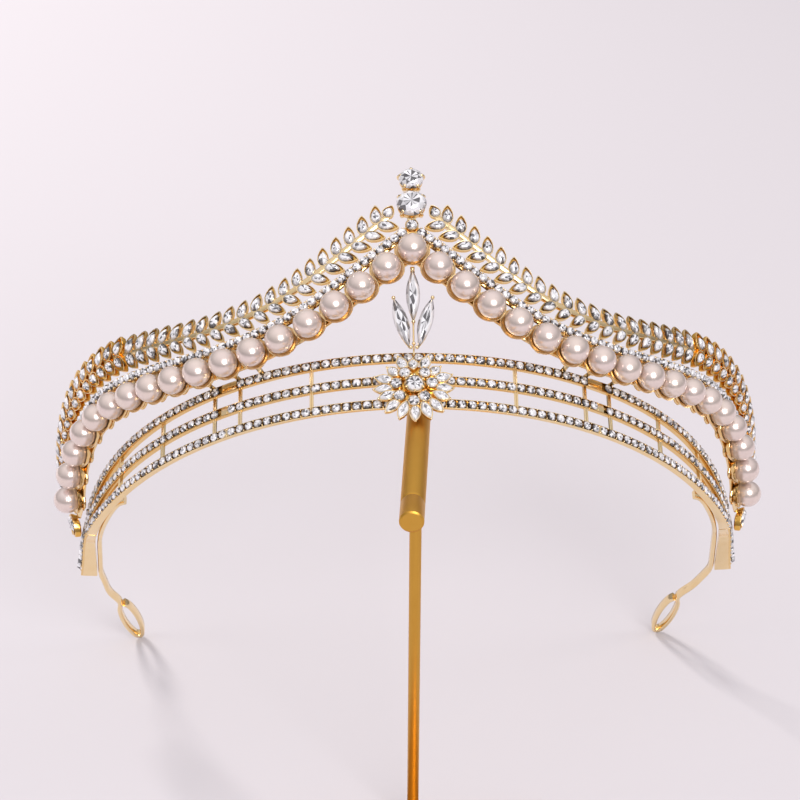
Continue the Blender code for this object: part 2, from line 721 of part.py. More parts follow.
def build_flower(parts, cutters):
    """The cluster on the band's middle: a gold plate, a ring of round stones and pointed petals."""
    plate = bmesh.new()
    back = GAP * 1.4
    front = back + FLOWER_PLATE
    reach = FLOWER_PETAL_INNER * FLOWER_PLATE_REACH
    disc = bmesh.ops.create_cone(plate, cap_ends=True, segments=20, radius1=reach, radius2=reach,
                                 depth=FLOWER_PLATE)["verts"]
    bmesh.ops.translate(plate, vec=(0, FLOWER_HEIGHT, (back + front) / 2), verts=disc)
    stones = bmesh.new()
    sunk = front - GAP / 2
    for angle in (math.radians(a) for a in FLOWER_PETAL_ANGLES):
        way = Vector((math.cos(angle), math.sin(angle)))
        middle = Vector((0, FLOWER_HEIGHT))
        inner, outer = middle + way * FLOWER_PETAL_INNER, middle + way * FLOWER_PETAL_OUTER
        add_marquise_stone(stones, inner, outer, FLOWER_PETAL_WIDTH * FLOWER_PETAL_FILL, sunk,
                           FLOWER_PETAL_WIDTH * FLOWER_PETAL_RISE)
    for i in range(FLOWER_RING_COUNT):
        angle = math.tau * (i + 0.5) / FLOWER_RING_COUNT
        spot = (FLOWER_RING_RADIUS * math.cos(angle), FLOWER_HEIGHT + FLOWER_RING_RADIUS * math.sin(angle))
        add_stone(stones, spot, sunk, FLOWER_RING_DIAMETER / 2, FLOWER_RING_DIAMETER * FLOWER_RING_RISE)
    mesh = united("flower", plate, stones, cutters)
    bent(mesh, 0.0)
    mesh_object("flower", mesh, GOLD, parts)
    centre = bmesh.new()
    add_stone(centre, (0, FLOWER_HEIGHT), front + GAP, FLOWER_STONE_DIAMETER / 2,
              FLOWER_STONE_DIAMETER * FLOWER_STONE_RISE, 10, LOOSE_STONE)
    mesh = closed_mesh("flower_stone", centre)
    bent(mesh, 0.0)
    mesh_object("flower_stone", mesh, CRYSTAL, parts)


def wire_route(inward_bend):
    """The right end wire's middle line in the band's plane, from inside the band to the end of its loop."""
    points = []
    end = HALF_BAND + BAND_END_RUN
    for s in np.linspace(WIRE_START, end, 12):
        inset = row_depth(s) + GAP + WIRE_THICKNESS / 2
        across, back, heading = band_plan(s)
        points.append((float(across - inset * np.sin(heading)), float(back + inset * np.cos(heading))))
    across, back = points[-1]
    turn = math.pi / 2 + LOOP_TURN
    # the free run leans in from the band's end to the loop's outer side
    for share in WIRE_BENDS:
        lean = share * share * (3 - 2 * share)
        points.append((across - inward_bend * lean, back + WIRE_RUN * share))
    # the loop is a long oval, left open where its end comes back to the arm
    start = Vector((across - inward_bend, back + WIRE_RUN))
    along = Vector((math.cos(turn), math.sin(turn)))
    inward = Vector((-along.y, along.x))
    middle = start + along * LOOP_LENGTH / 2 + inward * LOOP_WIDTH / 2
    half_length = (LOOP_LENGTH - WIRE_THICKNESS) / 2
    for i in range(LOOP_STEPS + 1):
        angle = LOOP_START + LOOP_SWEEP * i / LOOP_STEPS
        spot = middle + along * half_length * math.sin(angle) - inward * LOOP_WIDTH / 2 * math.cos(angle)
        points.append((spot.x, spot.y))
    return points


def build_end_wire(side, inward_bend, name, parts):
    """One flat wire: its run inside the band, the free run and the loop at its end."""
    route = [Vector(p) for p in wire_route(inward_bend)]
    rings = []
    half, tall = WIRE_THICKNESS / 2, WIRE_HEIGHT / 2
    for i, spot in enumerate(route):
        before = route[max(i - 1, 0)]
        after = route[min(i + 1, len(route) - 1)]
        along = (after - before).normalized()
        across = Vector((along.y, -along.x)) * half
        ring = []
        for edge, w in ((-1, -tall), (1, -tall), (1, tall), (-1, tall)):
            at = spot + across * edge
            ring.append(plane_point(side * at.x, at.y, w))
        rings.append(ring)
    wire = bmesh.new()
    add_loft(wire, rings)
    mesh_object(name, closed_mesh(name, wire), GOLD, parts)


def arm_height():
    """Height of the arm's middle, so that the band's lowest inner edge rests on it."""
    edge = band_point(0.0, -ROW_PITCH - ROW_HEIGHT / 2, -row_depth(0.0))
    return float(edge[2]) - GAP - ARM_DIAMETER / 2


def build_stand(parts):
    """The arm, the pole under it and the plate that stands on the floor."""
    radius = ARM_DIAMETER / 2
    shape = bmesh.new()
    groove = ARM_REACH - ARM_GROOVE_PLACE
    profile = ((-ARM_REACH, radius - ARM_RIM), (-ARM_REACH + ARM_RIM, radius),
               (groove - ARM_RIM, radius), (groove, radius - ARM_GROOVE), (groove + ARM_RIM, radius),
               (ARM_REACH - ARM_RIM, radius), (ARM_REACH, radius - ARM_RIM))
    rings = []
    for place, reach in profile:
        ring = []
        for i in range(20):
            angle = math.tau * i / 20
            ring.append((reach * math.cos(angle), -place, reach * math.sin(angle)))
        rings.append(ring)
    add_loft(shape, rings)
    bmesh.ops.rotate(shape, cent=(0, 0, 0), matrix=Matrix.Rotation(ARM_TURN, 3, "Z"), verts=shape.verts)
    arm = mesh_object("stand_arm", closed_mesh("stand_arm", shape), SATIN_GOLD, parts)
    arm.location = (0, 0, arm_height())

    foot = bmesh.new()
    add_box(foot, (-FOOT_WIDTH / 2, FOOT_BEHIND_POLE - FOOT_LENGTH, 0),
            (FOOT_WIDTH / 2, FOOT_BEHIND_POLE, FOOT_THICKNESS))
    plate = mesh_object("stand_foot", closed_mesh("stand_foot", foot), SATIN_GOLD, parts)
    bevel = plate.modifiers.new("rounded corners", "BEVEL")
    bevel.width = FOOT_THICKNESS / 3
    bevel.segments = 2

    low = FOOT_THICKNESS + GAP
    high = arm_height() - ARM_DIAMETER / 2 - GAP
    rod = bmesh.new()
    bmesh.ops.create_cone(rod, cap_ends=True, segments=16, radius1=POLE_DIAMETER / 2,
                          radius2=POLE_DIAMETER / 2, depth=high - low)
    pole = mesh_object("stand_pole", closed_mesh("stand_pole", rod), SATIN_GOLD, parts)
    pole.location = (0, 0, (low + high) / 2)


def main():
    """Build every piece of the tiara and its stand."""
    parts, cutters = cleared_scene()
    build_band(parts, cutters)
    build_pearl_strip(parts, cutters)
    build_pearls(parts)
    build_crystal_row(parts)
    build_laurel(-1, "laurel_left", parts, cutters)
    build_laurel(1, "laurel_right", parts, cutters)
    build_finial(parts, cutters)
    build_lily(parts, cutters)
    build_flower(parts, cutters)
    build_end_wire(-1, WIRE_INWARD_LEFT, "end_wire_left", parts)
    build_end_wire(1, WIRE_INWARD_RIGHT, "end_wire_right", parts)
    build_stand(parts)


main()
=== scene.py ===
"""A gold tiara on its display stand, laid out as an add-on: each button dresses one group of its pieces.

Everything is in metres with +Z up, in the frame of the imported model. The tiara is laid out flat first:
s runs along the band from its middle, w runs up its wall, and out stands proud of it. wall_place bends
that layout round the band and tilts it. Meshes are worked out as whole arrays of points.
"""

import math

import bpy
import numpy as np
from bpy.props import FloatProperty, FloatVectorProperty, PointerProperty
from mathutils import Matrix, Vector


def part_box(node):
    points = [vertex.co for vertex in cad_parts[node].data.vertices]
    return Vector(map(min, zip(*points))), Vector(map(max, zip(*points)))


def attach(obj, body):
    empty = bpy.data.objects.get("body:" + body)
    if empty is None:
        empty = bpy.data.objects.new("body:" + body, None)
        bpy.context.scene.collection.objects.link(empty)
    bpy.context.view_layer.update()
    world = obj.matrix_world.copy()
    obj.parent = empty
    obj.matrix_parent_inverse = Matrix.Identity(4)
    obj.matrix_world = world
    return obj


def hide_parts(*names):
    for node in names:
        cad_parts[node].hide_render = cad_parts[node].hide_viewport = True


bl_info = {
    "name": "Tiara dresser",
    "version": (1, 0, 0),
    "blender": (4, 5, 0),
    "location": "View3D > Sidebar > Tiara",
    "description": "Dresses a packed tiara with its stones, settings, pearls, wires and stand",
    "category": "Add Mesh",
}

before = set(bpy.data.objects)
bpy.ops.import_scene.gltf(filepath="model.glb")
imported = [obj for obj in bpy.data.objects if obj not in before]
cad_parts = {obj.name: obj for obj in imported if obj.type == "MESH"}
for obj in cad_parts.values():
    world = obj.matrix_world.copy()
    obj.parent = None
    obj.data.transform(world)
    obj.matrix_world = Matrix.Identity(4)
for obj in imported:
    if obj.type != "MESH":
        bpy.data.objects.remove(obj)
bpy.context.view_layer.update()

# Band: the driving sizes of the solids, which the dressing follows
HALF_BAND = 0.1086
BAND_SWEEP = math.radians(82.2)
BAND_EASE = 1.056
BAND_END_RUN = 0.0165
BAND_END_HEADING = math.radians(85.5)
BAND_TILT = math.radians(62.5)
BAND_END = HALF_BAND + BAND_END_RUN
ROW_PITCH = 0.0055
ROW_HEIGHT = 0.0023
ROW_DEPTH_FRONT = 0.0014
ROW_DEPTH_END = 0.0028
ROW_MEETING_POWER = 6.5
CHANNEL_FRONT = 0.0010
ROW_PROUD_END = 0.0012
POST_STATIONS = (0.198, 0.35, 0.41, 0.553, 0.714)

# Crown: the wall that carries the pearls and the laurel, leaning outwards
CROWN_LEAN = 0.261
CROWN_RISE = 0.0254
PEARL_LINE = (
    # station along the half band, height as a share of the crown's rise
    (0.00, 1.000),
    (0.18, 0.457),
    (0.36, 0.288),
    (0.54, 0.353),
    (0.72, 0.421),
    (0.88, 0.223),
    (1.00, -0.100),
)
SIDE_SPREAD = 1.2
PEARL_DIAMETER = 0.006
PEARL_SPACE = 0.00073
PEARLS_PER_SIDE = 17
STRIP_OUT = 0.0002
STRIP_THICKNESS = 0.0006
STRIP_LIP = 0.0022
CUP_LIP = 0.0016
STRIP_NECK = 0.0007
STRIP_TOP = 0.0026
GAP = 0.0003
PEARL_OUT = STRIP_OUT + STRIP_THICKNESS + GAP + PEARL_DIAMETER / 2
LUG_STATIONS = (0.30, 0.35, 0.41)
CRYSTAL_OFFSET = 0.0041
CRYSTAL_END = 0.95
STEM_OFFSET = 0.0088
BRANCH_START = 0.0042
LEAF_PITCH = 0.0036
UPPER_LEAF_TURN = math.radians(53)
LOWER_LEAF_TURN = math.radians(50)
END_LEAF_TURN = math.radians(25)
FIRST_PAIR = 0.0022

# Finial, lily and flower at the middle
FINIAL_STONES = (
    # name, height on the wall, diameter, angles of its claws in degrees
    ("lower", 0.0354, 0.0055, (38, 142, 230, 310)),
    ("upper", 0.0409, 0.0045, (18, 90, 162, 234, 306)),
)
LILY_PETALS = (
    # name, foot and tip on the wall, width
    ("middle", (0.0, 0.0107), (0.0, 0.0217), 0.0027),
    ("left", (-0.0009, 0.0053), (-0.0037, 0.0158), 0.0028),
    ("right", (0.0009, 0.0053), (0.0037, 0.0158), 0.0028),
)
FLOWER_HEIGHT = -0.0025
FLOWER_PETALS = (
    # angle in degrees, reach of its tip from the flower's middle
    (-3, 0.0080),
    (19, 0.0081),
    (41, 0.0072),
    (67, 0.0076),
    (92, 0.0066),
    (115, 0.0077),
    (140, 0.0072),
    (165, 0.0084),
    (184, 0.0084),
    (203, 0.0080),
    (226, 0.0087),
    (248, 0.0088),
    (270, 0.0086),
    (291, 0.0088),
    (313, 0.0084),
    (336, 0.0078),
)
FLOWER_RING = (
    # angle in degrees, distance of its stone from the flower's middle
    (7, 0.0035),
    (53, 0.0035),
    (124, 0.0034),
    (175, 0.0037),
    (221, 0.0040),
    (267, 0.0039),
    (304, 0.0034),
)

# End wires and stand
WIRE_START = 0.083
WIRE_RUN = 0.0162
WIRE_INWARD = {"left": 0.0018, "right": 0.0046}
LOOP_LENGTH = 0.0185
LOOP_WIDTH = 0.0038
LOOP_TURN = math.radians(9)
WIRE_THICKNESS = 0.0010
WIRE_HEIGHT = 0.0014
WIRE_TALL = 0.0020
# how far the wires' inner ends curl inwards, and the share of the lowest row's drop that they follow
WIRE_CURL = 0.0012
WIRE_DROP = 0.7
ARM_DIAMETER = 0.0049
ARM_REACH = 0.025
ARM_TURN = math.radians(-3.8)
ARM_GROOVE_PLACE = 0.0065
POLE_DIAMETER = 0.0025
BAND_BEHIND_POLE = 0.017
FLOOR_GAP = 0.0001

# Plain stretches of the rows that hold no stone, in metres along the band
PLAIN_STRETCHES = {1: (0.0388, 0.0424), 0: (0.0402, 0.0424), -1: (0.0404, 0.0420)}

# Camera: turned as the photograph's, half a metre from the front of the middle row
CAMERA_DROP = math.radians(31)
CAMERA_YAW = math.radians(-1.575)
CAMERA_ROLL = math.radians(-0.333)
CAMERA_DISTANCE = 0.5
CAMERA_RIGHT = -0.00286
CAMERA_UP = -0.00425
CAMERA_LENS = 109.875

SIDES = {"left": -1, "right": 1}


class TiaraSizes(bpy.types.PropertyGroup):
    """Sizes of the dressing that can be changed without moving what carries it."""

    row_stone: FloatProperty(
        name="Row stone", description="Diameter of the stones in the three rows",
        default=0.00208, min=0.0005, unit="LENGTH", subtype="DISTANCE", precision=5)
    row_stone_pitch: FloatProperty(
        name="Row stone pitch", description="Distance between neighbouring stones of a row",
        default=0.00216, min=0.0005, unit="LENGTH", subtype="DISTANCE", precision=5)
    row_claw: FloatProperty(
        name="Row claw", description="Diameter of the beads that hold the stones of the rows",
        default=0.00040, min=0.0001, unit="LENGTH", subtype="DISTANCE", precision=5)
    crystal: FloatProperty(
        name="Crystal", description="Diameter of the stones along the pearls",
        default=0.0019, min=0.0005, unit="LENGTH", subtype="DISTANCE", precision=5)
    leaf_length: FloatProperty(
        name="Leaf length", description="Length of a laurel leaf near the front",
        default=0.0042, min=0.001, unit="LENGTH", subtype="DISTANCE", precision=5)
    leaf_width: FloatProperty(
        name="Leaf width", description="Width of a laurel leaf near the front",
        default=0.00232, min=0.0005, unit="LENGTH", subtype="DISTANCE", precision=5)
    leaf_stone: FloatProperty(
        name="Leaf stone", description="Diameter of the stone in a laurel leaf",
        default=0.00198, min=0.0005, unit="LENGTH", subtype="DISTANCE", precision=5)
    stem_width: FloatProperty(
        name="Stem width", description="Width of the bar that carries the leaves",
        default=0.0011, min=0.0002, unit="LENGTH", subtype="DISTANCE", precision=5)


class TiaraColours(bpy.types.PropertyGroup):
    """Colours of the finishes."""

    gold: FloatVectorProperty(
        name="Gold", description="Polished gold where it is open to the light",
        default=(0.96, 0.76, 0.45), size=3, min=0, max=1, subtype="COLOR")
    # painted shade: the gold shown down in the settings and between the leaves stands in for shade there
    painted_shade_gold: FloatVectorProperty(
        name="Deep gold", description="Gold down in the settings and between the leaves",
        default=(0.80, 0.47, 0.11), size=3, min=0, max=1, subtype="COLOR")
    # painted shadow: the near black between the stones of the rows stands in for shadow there
    shadow_gold: FloatVectorProperty(
        name="Shadow gold", description="Dark metal between the stones of the rows",
        default=(0.16, 0.10, 0.05), size=3, min=0, max=1, subtype="COLOR")
    satin_gold: FloatVectorProperty(
        name="Satin gold", description="Brushed gold of the stand",
        default=(0.68, 0.37, 0.065), size=3, min=0, max=1, subtype="COLOR")
    pearl: FloatVectorProperty(
        name="Pearl", description="Ivory of the pearls",
        default=(0.84, 0.72, 0.675), size=3, min=0, max=1, subtype="COLOR")
    # the two ends of the stones' painted reflections: each facet's tone mixes between them
    stone_light: FloatVectorProperty(
        name="Stone light", description="Brightest facets of the stones",
        default=(0.97, 0.96, 0.99), size=3, min=0, max=1, subtype="COLOR")
    stone_dark: FloatVectorProperty(
        name="Stone dark", description="Darkest facets of the stones",
        default=(0.05, 0.045, 0.05), size=3, min=0, max=1, subtype="COLOR")
    floor: FloatVectorProperty(
        name="Floor", description="Plain pale surface under the stand",
        default=(0.56, 0.53, 0.56), size=3, min=0, max=1, subtype="COLOR")


def sizes():
    """The scene's sizes."""
    return bpy.context.scene.tiara_sizes


def colours():
    """The scene's colours."""
    return bpy.context.scene.tiara_colours


# Layout of the band and the crown

def curve_through(knots, at):
    """Natural cubic spline through the knots: its bends solve the usual three-term equations."""
    x = np.array([k[0] for k in knots])
    y = np.array([k[1] for k in knots])
    step = np.diff(x)
    slope = np.diff(y) / step
    count = len(x)
    left = np.eye(count)
    right = np.zeros(count)
    for i in range(1, count - 1):
        left[i, i - 1:i + 2] = (step[i - 1], 2 * (step[i - 1] + step[i]), step[i])
        right[i] = 6 * (slope[i] - slope[i - 1])
    bend = np.linalg.solve(left, right)
    at = np.asarray(at, dtype=float)
    i = np.clip(np.searchsorted(x, at) - 1, 0, count - 2)
    t = at - x[i]
    h = step[i]
    first = slope[i] - h * (2 * bend[i] + bend[i + 1]) / 6
    return y[i] + t * (first + t * (bend[i] / 2 + t * (bend[i + 1] - bend[i]) / (6 * h)))


def band_line():
    """The right half of the band's line: its heading grows by 1 - (1 - run / half) ** ease, and its
    places are the running sums of the heading's cosine and sine."""
    run = np.linspace(0, HALF_BAND + BAND_END_RUN * 2, 1500)
    share = np.clip(1 - run / HALF_BAND, 0, 1)
    past = np.clip((run - HALF_BAND) / BAND_END_RUN * 4, 0, 1)
    heading = BAND_SWEEP * (1 - share ** BAND_EASE) + (BAND_END_HEADING - BAND_SWEEP) * past
    step = run[1] - run[0]
    middle = (heading[1:] + heading[:-1]) / 2
    across = np.concatenate(((0,), np.cumsum(np.cos(middle)) * step))
    back = np.concatenate(((0,), np.cumsum(np.sin(middle)) * step))
    return run, across, back, heading


BAND_LINE = band_line()
TO_ENDS = np.array((0.0, math.cos(BAND_TILT), -math.sin(BAND_TILT)))
UP_WALL = np.array((0.0, math.sin(BAND_TILT), math.cos(BAND_TILT)))


def band_plan(s):
    """Place and heading of the band's line in its own plane."""
    run, across, back, heading = BAND_LINE
    side = np.sign(s)
    at = np.abs(s)
    return (side * np.interp(at, run, across), np.interp(at, run, back),
            side * np.interp(at, run, heading))


def front_height():
    """Height of the middle row's front: the end loops' reach times the tilt's sine, off the floor."""
    reach = float(band_plan(BAND_END)[1]) + WIRE_RUN + LOOP_LENGTH * math.cos(LOOP_TURN)
    return reach * math.sin(BAND_TILT) + WIRE_HEIGHT / 2 * math.cos(BAND_TILT) + FLOOR_GAP


FRONT = np.array((0.0, BAND_BEHIND_POLE, front_height()))


def plane_place(across, back, w):
    """across along X, back towards the ends and w up the wall, from the front of the middle row."""
    across, back, w = np.broadcast_arrays(across, back, w)
    return across[..., None] * (1.0, 0.0, 0.0) + back[..., None] * TO_ENDS + w[..., None] * UP_WALL + FRONT


def wall_place(flat, lean):
    """Bend points (s, w, out) round the band: out plus lean times w goes along the band's normal."""
    flat = np.asarray(flat, dtype=float)
    across, back, heading = band_plan(flat[..., 0])
    proud = flat[..., 2] + lean * flat[..., 1]
    return plane_place(across + proud * np.sin(heading), back - proud * np.cos(heading), flat[..., 1])


def row_height(row, s):
    """Height of one row: row * pitch * (1 - share ** power), so that the rows meet at the ends."""
    share = np.clip(np.abs(s) / HALF_BAND, 0, 1)
    return row * ROW_PITCH * (1 - share ** ROW_MEETING_POWER)


def end_share(s):
    """Share of the way to the band's end."""
    return np.minimum(np.abs(s) / BAND_END, 1)


def row_depth(s):
    """Depth of the rows, which grows evenly towards the ends."""
    return ROW_DEPTH_FRONT + (ROW_DEPTH_END - ROW_DEPTH_FRONT) * end_share(s)


def channel_depth(s):
    """Depth of the dressed channels: shallow at the front, and growing with the square of the share."""
    return CHANNEL_FRONT + (ROW_DEPTH_END - CHANNEL_FRONT) * end_share(s) ** 2


def row_proud(s):
    """How far the stones stand out: the end's value times share ** 8."""
    return ROW_PROUD_END * end_share(s) ** 8


def pearl_height(run):
    """Height of the pearls' line at a distance from its peak."""
    return CROWN_RISE * curve_through(PEARL_LINE, np.asarray(run) / HALF_BAND)


def spread(run):
    """How much wider the crown's dressing is at the sides: a smooth step from 1 to SIDE_SPREAD."""
    share = np.clip((np.asarray(run) / HALF_BAND - 0.35) / 0.35, 0, 1)
    return 1 + (SIDE_SPREAD - 1) * share * share * (3 - 2 * share)


def beside_pearls(run, offset):
    """Points at this distance above the pearls' line, along its normal (-slope, 1) / length."""
    small = HALF_BAND * 1e-4
    slope = (pearl_height(run + small) - pearl_height(run)) / small
    length = np.sqrt(1 + slope ** 2)
    return run - slope / length * offset, pearl_height(run) + offset / length


def line_height(s, offset):
    """Height of a line that keeps this distance above the pearls' line, wider at the sides."""
    run = np.linspace(-CROWN_RISE, HALF_BAND * 1.1, 600)
    beside, height = beside_pearls(run, offset * spread(run))
    return np.interp(np.abs(s), beside, height)


def way_to_peak(s, offset):
    """Direction of such a line towards the peak, as an angle in the flat layout."""
    small = HALF_BAND * 1e-3
    rise = line_height(np.abs(s) - small, offset) - line_height(np.abs(s) + small, offset)
    return np.arctan2(rise, np.where(s > 0, -2 * small, 2 * small))


def even_stations(first, pitch, last, offset):
    """Stations along such a line, this far apart as measured on the wall."""
    fine = np.linspace(first, last, 1200)
    flat = np.stack((fine, line_height(fine, offset), np.full_like(fine, PEARL_OUT)), -1)
    steps = np.diff(wall_place(flat, CROWN_LEAN), axis=0)
    way = np.concatenate(((0,), np.cumsum(np.linalg.norm(steps, axis=1))))
    return np.interp(np.arange(0, way[-1], pitch), way, fine)


def pearl_stations():
    """Where the pearls sit, from the peak outwards."""
    return even_stations(0.0, PEARL_DIAMETER + PEARL_SPACE, HALF_BAND * 1.05, 0.0)[:PEARLS_PER_SIDE + 1]


# Meshes as arrays

def grid_faces(rows, columns, closed=True):
    """Quads between neighbouring rings, where ring i holds points i * columns + j."""
    i = np.arange(rows - 1)[:, None]
    j = np.arange(columns if closed else columns - 1)[None, :]
    k = (j + 1) % columns
    quads = (i * columns + j, i * columns + k, (i + 1) * columns + k, (i + 1) * columns + j)
    return np.stack(np.broadcast_arrays(*quads), -1).reshape(-1, 4)


def tube_faces(rows, columns):
    """The quads of a tube and a cap at each end."""
    caps = np.stack((np.arange(columns)[::-1], (rows - 1) * columns + np.arange(columns)))
    return [grid_faces(rows, columns), caps]


def flat_rings(stations, edges):
    """A section carried along the band: each edge is its height on the wall and how far out it lies."""
    return np.stack([np.stack(np.broadcast_arrays(stations, *edge), -1) for edge in edges], 1)


def soft_section(low, top, back, front, corner):
    """Edges of a strip with cut corners, between two heights and two levels."""
    return ((low + corner, back), (top - corner, back), (top, back + corner), (top, front - corner),
            (top - corner, front), (low + corner, front), (low, front - corner), (low, back + corner))


def signed_volume(points, faces):
    """Sum over the faces, cut in fans, of a . (b x c) / 6 about the points' middle."""
    centred = points - points.mean(axis=0)
    total = 0.0
    for group in faces:
        corners = centred[group]
        first = np.broadcast_to(corners[:, :1], corners[:, 1:-1].shape)
        total += float((first * np.cross(corners[:, 1:-1], corners[:, 2:])).sum())
    return total / 6


class Shell:
    """Gathers closed shapes for one mesh, with a depth for each point, its share of painted shade in the
    metal, and a tone for each face, the painted reflection of a stone's facet.
    """

    def __init__(self):
        self.points = []
        self.painted_shades = []
        self.faces = []
        self.tones = []
        self.count = 0

    def add(self, points, faces, depth=0.0, tone=0.5):
        """Add points and groups of faces, turned outwards if their signed volume is negative."""
        points = np.asarray(points, dtype=float).reshape(-1, 3)
        turned = -1 if signed_volume(points, faces) < 0 else 1
        self.points.append(points)
        self.painted_shades.append(np.resize(depth, len(points)))
        self.faces += [np.asarray(group)[:, ::turned] + self.count for group in faces]
        self.tones.append(np.resize(tone, sum(len(group) for group in faces)))
        self.count += len(points)

    def sweep(self, rings, depth=0.0):
        """Add one closed tube through rings, given as an array of sections by points."""
        rings = np.asarray(rings, dtype=float)
        rows, columns = rings.shape[:2]
        self.add(rings, tube_faces(rows, columns), np.tile(np.resize(depth, columns), rows))

    def copies(self, template, places, turns=0.0, scales=1.0, tone=0.5):
        """Add copies of a template: each is scaled, turned about out, and moved to its place."""
        points, faces, depth = template[:3]
        places = np.asarray(places, dtype=float).reshape(-1, 3)
        count = len(places)
        scales = np.broadcast_to(scales, (count, 3))
        turns = np.broadcast_to(turns, count)[:, None]
        x, y, z = (points[None, :, axis] * scales[:, axis, None] for axis in range(3))
        spun = np.stack((x * np.cos(turns) - y * np.sin(turns), x * np.sin(turns) + y * np.cos(turns), z), -1)
        start = np.arange(count)[:, None, None] * len(points)
        groups = [(group[None] + start).reshape(-1, group.shape[1]) for group in faces]
        self.add(spun + places[:, None], groups, np.tile(np.resize(depth, len(points)), count), tone)

    def mesh(self, name, lean=None):
        """The gathered mesh, bent round the band if a lean is given."""
        points = np.concatenate(self.points)
        if lean is not None:
            points = wall_place(points, lean)
        mesh = bpy.data.meshes.new(name)
        mesh.vertices.add(len(points))
        mesh.vertices.foreach_set("co", points.ravel())
        loops = np.concatenate([group.ravel() for group in self.faces]).astype(np.int32)
        sides = np.concatenate([np.full(len(group), group.shape[1]) for group in self.faces])
        starts = np.concatenate(((0,), np.cumsum(sides)[:-1])).astype(np.int32)
        mesh.loops.add(len(loops))
        mesh.loops.foreach_set("vertex_index", loops)
        mesh.polygons.add(len(starts))
        mesh.polygons.foreach_set("loop_start", starts)
        mesh.update(calc_edges=True)
        mesh.validate()
        # painted shade: each point's depth is its share of painted shade in the metal
        depth = mesh.attributes.new("depth", "FLOAT", "POINT")
        depth.data.foreach_set("value", np.concatenate(self.painted_shades).astype(np.float32))
        tone = mesh.attributes.new("tone", "FLOAT", "FACE")
        tone.data.foreach_set("value", np.concatenate(self.tones).astype(np.float32))
        return mesh


def piece(name, mesh, material, nodes=(), smooth=None):
    """Put a mesh in the scene as a piece that rides the body, smooth up to an angle in degrees."""
    made = bpy.data.objects.new(name, mesh)
    bpy.context.scene.collection.objects.link(made)
    mesh.materials.append(material)
    if smooth is not None:
        mesh.shade_smooth()
        mesh.set_sharp_from_angle(angle=math.radians(smooth))
    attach(made, "root")
    if nodes:
        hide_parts(*nodes)
    return made


# Small shapes that are repeated

def circle(count, turn=0.0):
    """Points (cos a, sin a) of a unit circle, the first one turned by this share of a step."""
    angle = math.tau * (np.arange(count) + turn) / count
    return np.stack((np.cos(angle), np.sin(angle)), -1)


def lens(count):
    """Points (cos a, sin a * abs(sin a)) of a pointed oval between -1 and 1."""
    angle = math.tau * np.arange(count) / count
    return np.stack((np.cos(angle), np.sin(angle) * np.abs(np.sin(angle))), -1)


TEARDROP_POWER = 0.55
TEARDROP_WIDEST = 0.86


def teardrop(count):
    """Points (cos a, sin a * sin(a / 2) ** power / widest): round at -1, pointed at 1, about 2 wide."""
    angle = math.tau * np.arange(count) / count
    wide = np.sin(angle) * np.abs(np.sin(angle / 2)) ** TEARDROP_POWER / TEARDROP_WIDEST
    return np.stack((np.cos(angle), wide), -1)


def stack(outline, levels):
    """One outline at each level (share, lift, depth), scaled by the share: a closed turned shape. The depth
    is the level's share of painted shade.
    """
    levels = np.asarray(levels, dtype=float)
    flat = outline[None] * levels[:, 0, None, None]
    lift = np.broadcast_to(levels[:, 1, None, None], flat[..., :1].shape)
    points = np.concatenate((flat, lift), -1).reshape(-1, 3)
    return points, tube_faces(len(levels), len(outline)), np.repeat(levels[:, 2], len(outline))


def cut_stone(outline, table=0.56, middle=0.80, dimple=0.10, wedge=0.26):
    """A brilliant over an outline of 2n girdle points. The table, at height 1, is a fan of n wide and n
    narrow wedges, which start this share along its sides. Stars, kites and halves lead down to the
    girdle at 0.35, and a cone to the foot at 0. The narrow wedges are darker by the last value."""
    n = len(outline) // 2
    corners = outline[0::2] * table
    cuts = corners + (np.roll(corners, -1, axis=0) - corners) * wedge
    rings = (
        np.array(((0.0, 0.0, 1.0 - dimple),)),
        np.c_[corners, np.full(n, 1.0)],
        np.c_[cuts, np.full(n, 1.0)],
        np.c_[outline[1::2] * middle, np.full(n, 0.74)],
        np.c_[outline, np.full(2 * n, 0.35)],
        np.array(((0.0, 0.0, 0.0),)),
    )
    i = np.arange(n)
    after = (i + 1) % n
    t, u, m, g = (1 + n * ring for ring in range(4))
    foot = g + 2 * n
    j = np.arange(2 * n)
    none = np.zeros(n, int)
    narrow = np.stack((none, t + i, u + i), -1)
    wide = np.stack((none, u + i, t + after), -1)
    star = np.stack((t + i, m + i, t + after, u + i), -1)
    kite = np.stack((t + i, m + (i - 1) % n, g + 2 * i, m + i), -1)
    first = np.stack((m + i, g + 2 * i, g + 2 * i + 1), -1)
    second = np.stack((m + i, g + 2 * i + 1, g + (2 * i + 2) % (2 * n)), -1)
    cone = np.stack((g + (j + 1) % (2 * n), g + j, np.full(2 * n, foot)), -1)
    triangles = np.concatenate((narrow, wide, first, second, cone))
    # painted reflection: the narrow wedges of the table are painted darker, as the burst of a cut stone
    darker = [np.repeat((0.75, 0.0), (n, len(triangles) - n)), np.zeros(2 * n)]
    return np.concatenate(rings), [triangles, np.concatenate((star, kite))], 0.0, darker


def small_stone(outline, table=0.58, dimple=0.16):
    """A small cut stone: a sunk table fan, one ring of crown facets and a cone below the girdle."""
    n = len(outline)
    points = np.concatenate((
        ((0.0, 0.0, 1.0 - dimple),),
        np.c_[outline * table, np.full(n, 1.0)],
        np.c_[outline, np.full(n, 0.42)],
        ((0.0, 0.0, 0.0),)))
    i = np.arange(n)
    after = (i + 1) % n
    fan = np.stack((np.zeros(n, int), 1 + i, 1 + after), -1)
    crown = np.stack((1 + i, 1 + n + i, 1 + n + after, 1 + after), -1)
    cone = np.stack((1 + n + after, 1 + n + i, np.full(n, 1 + 2 * n)), -1)
    return points, [np.concatenate((fan, cone)), crown], 0.0, [np.zeros(2 * n), np.zeros(n)]


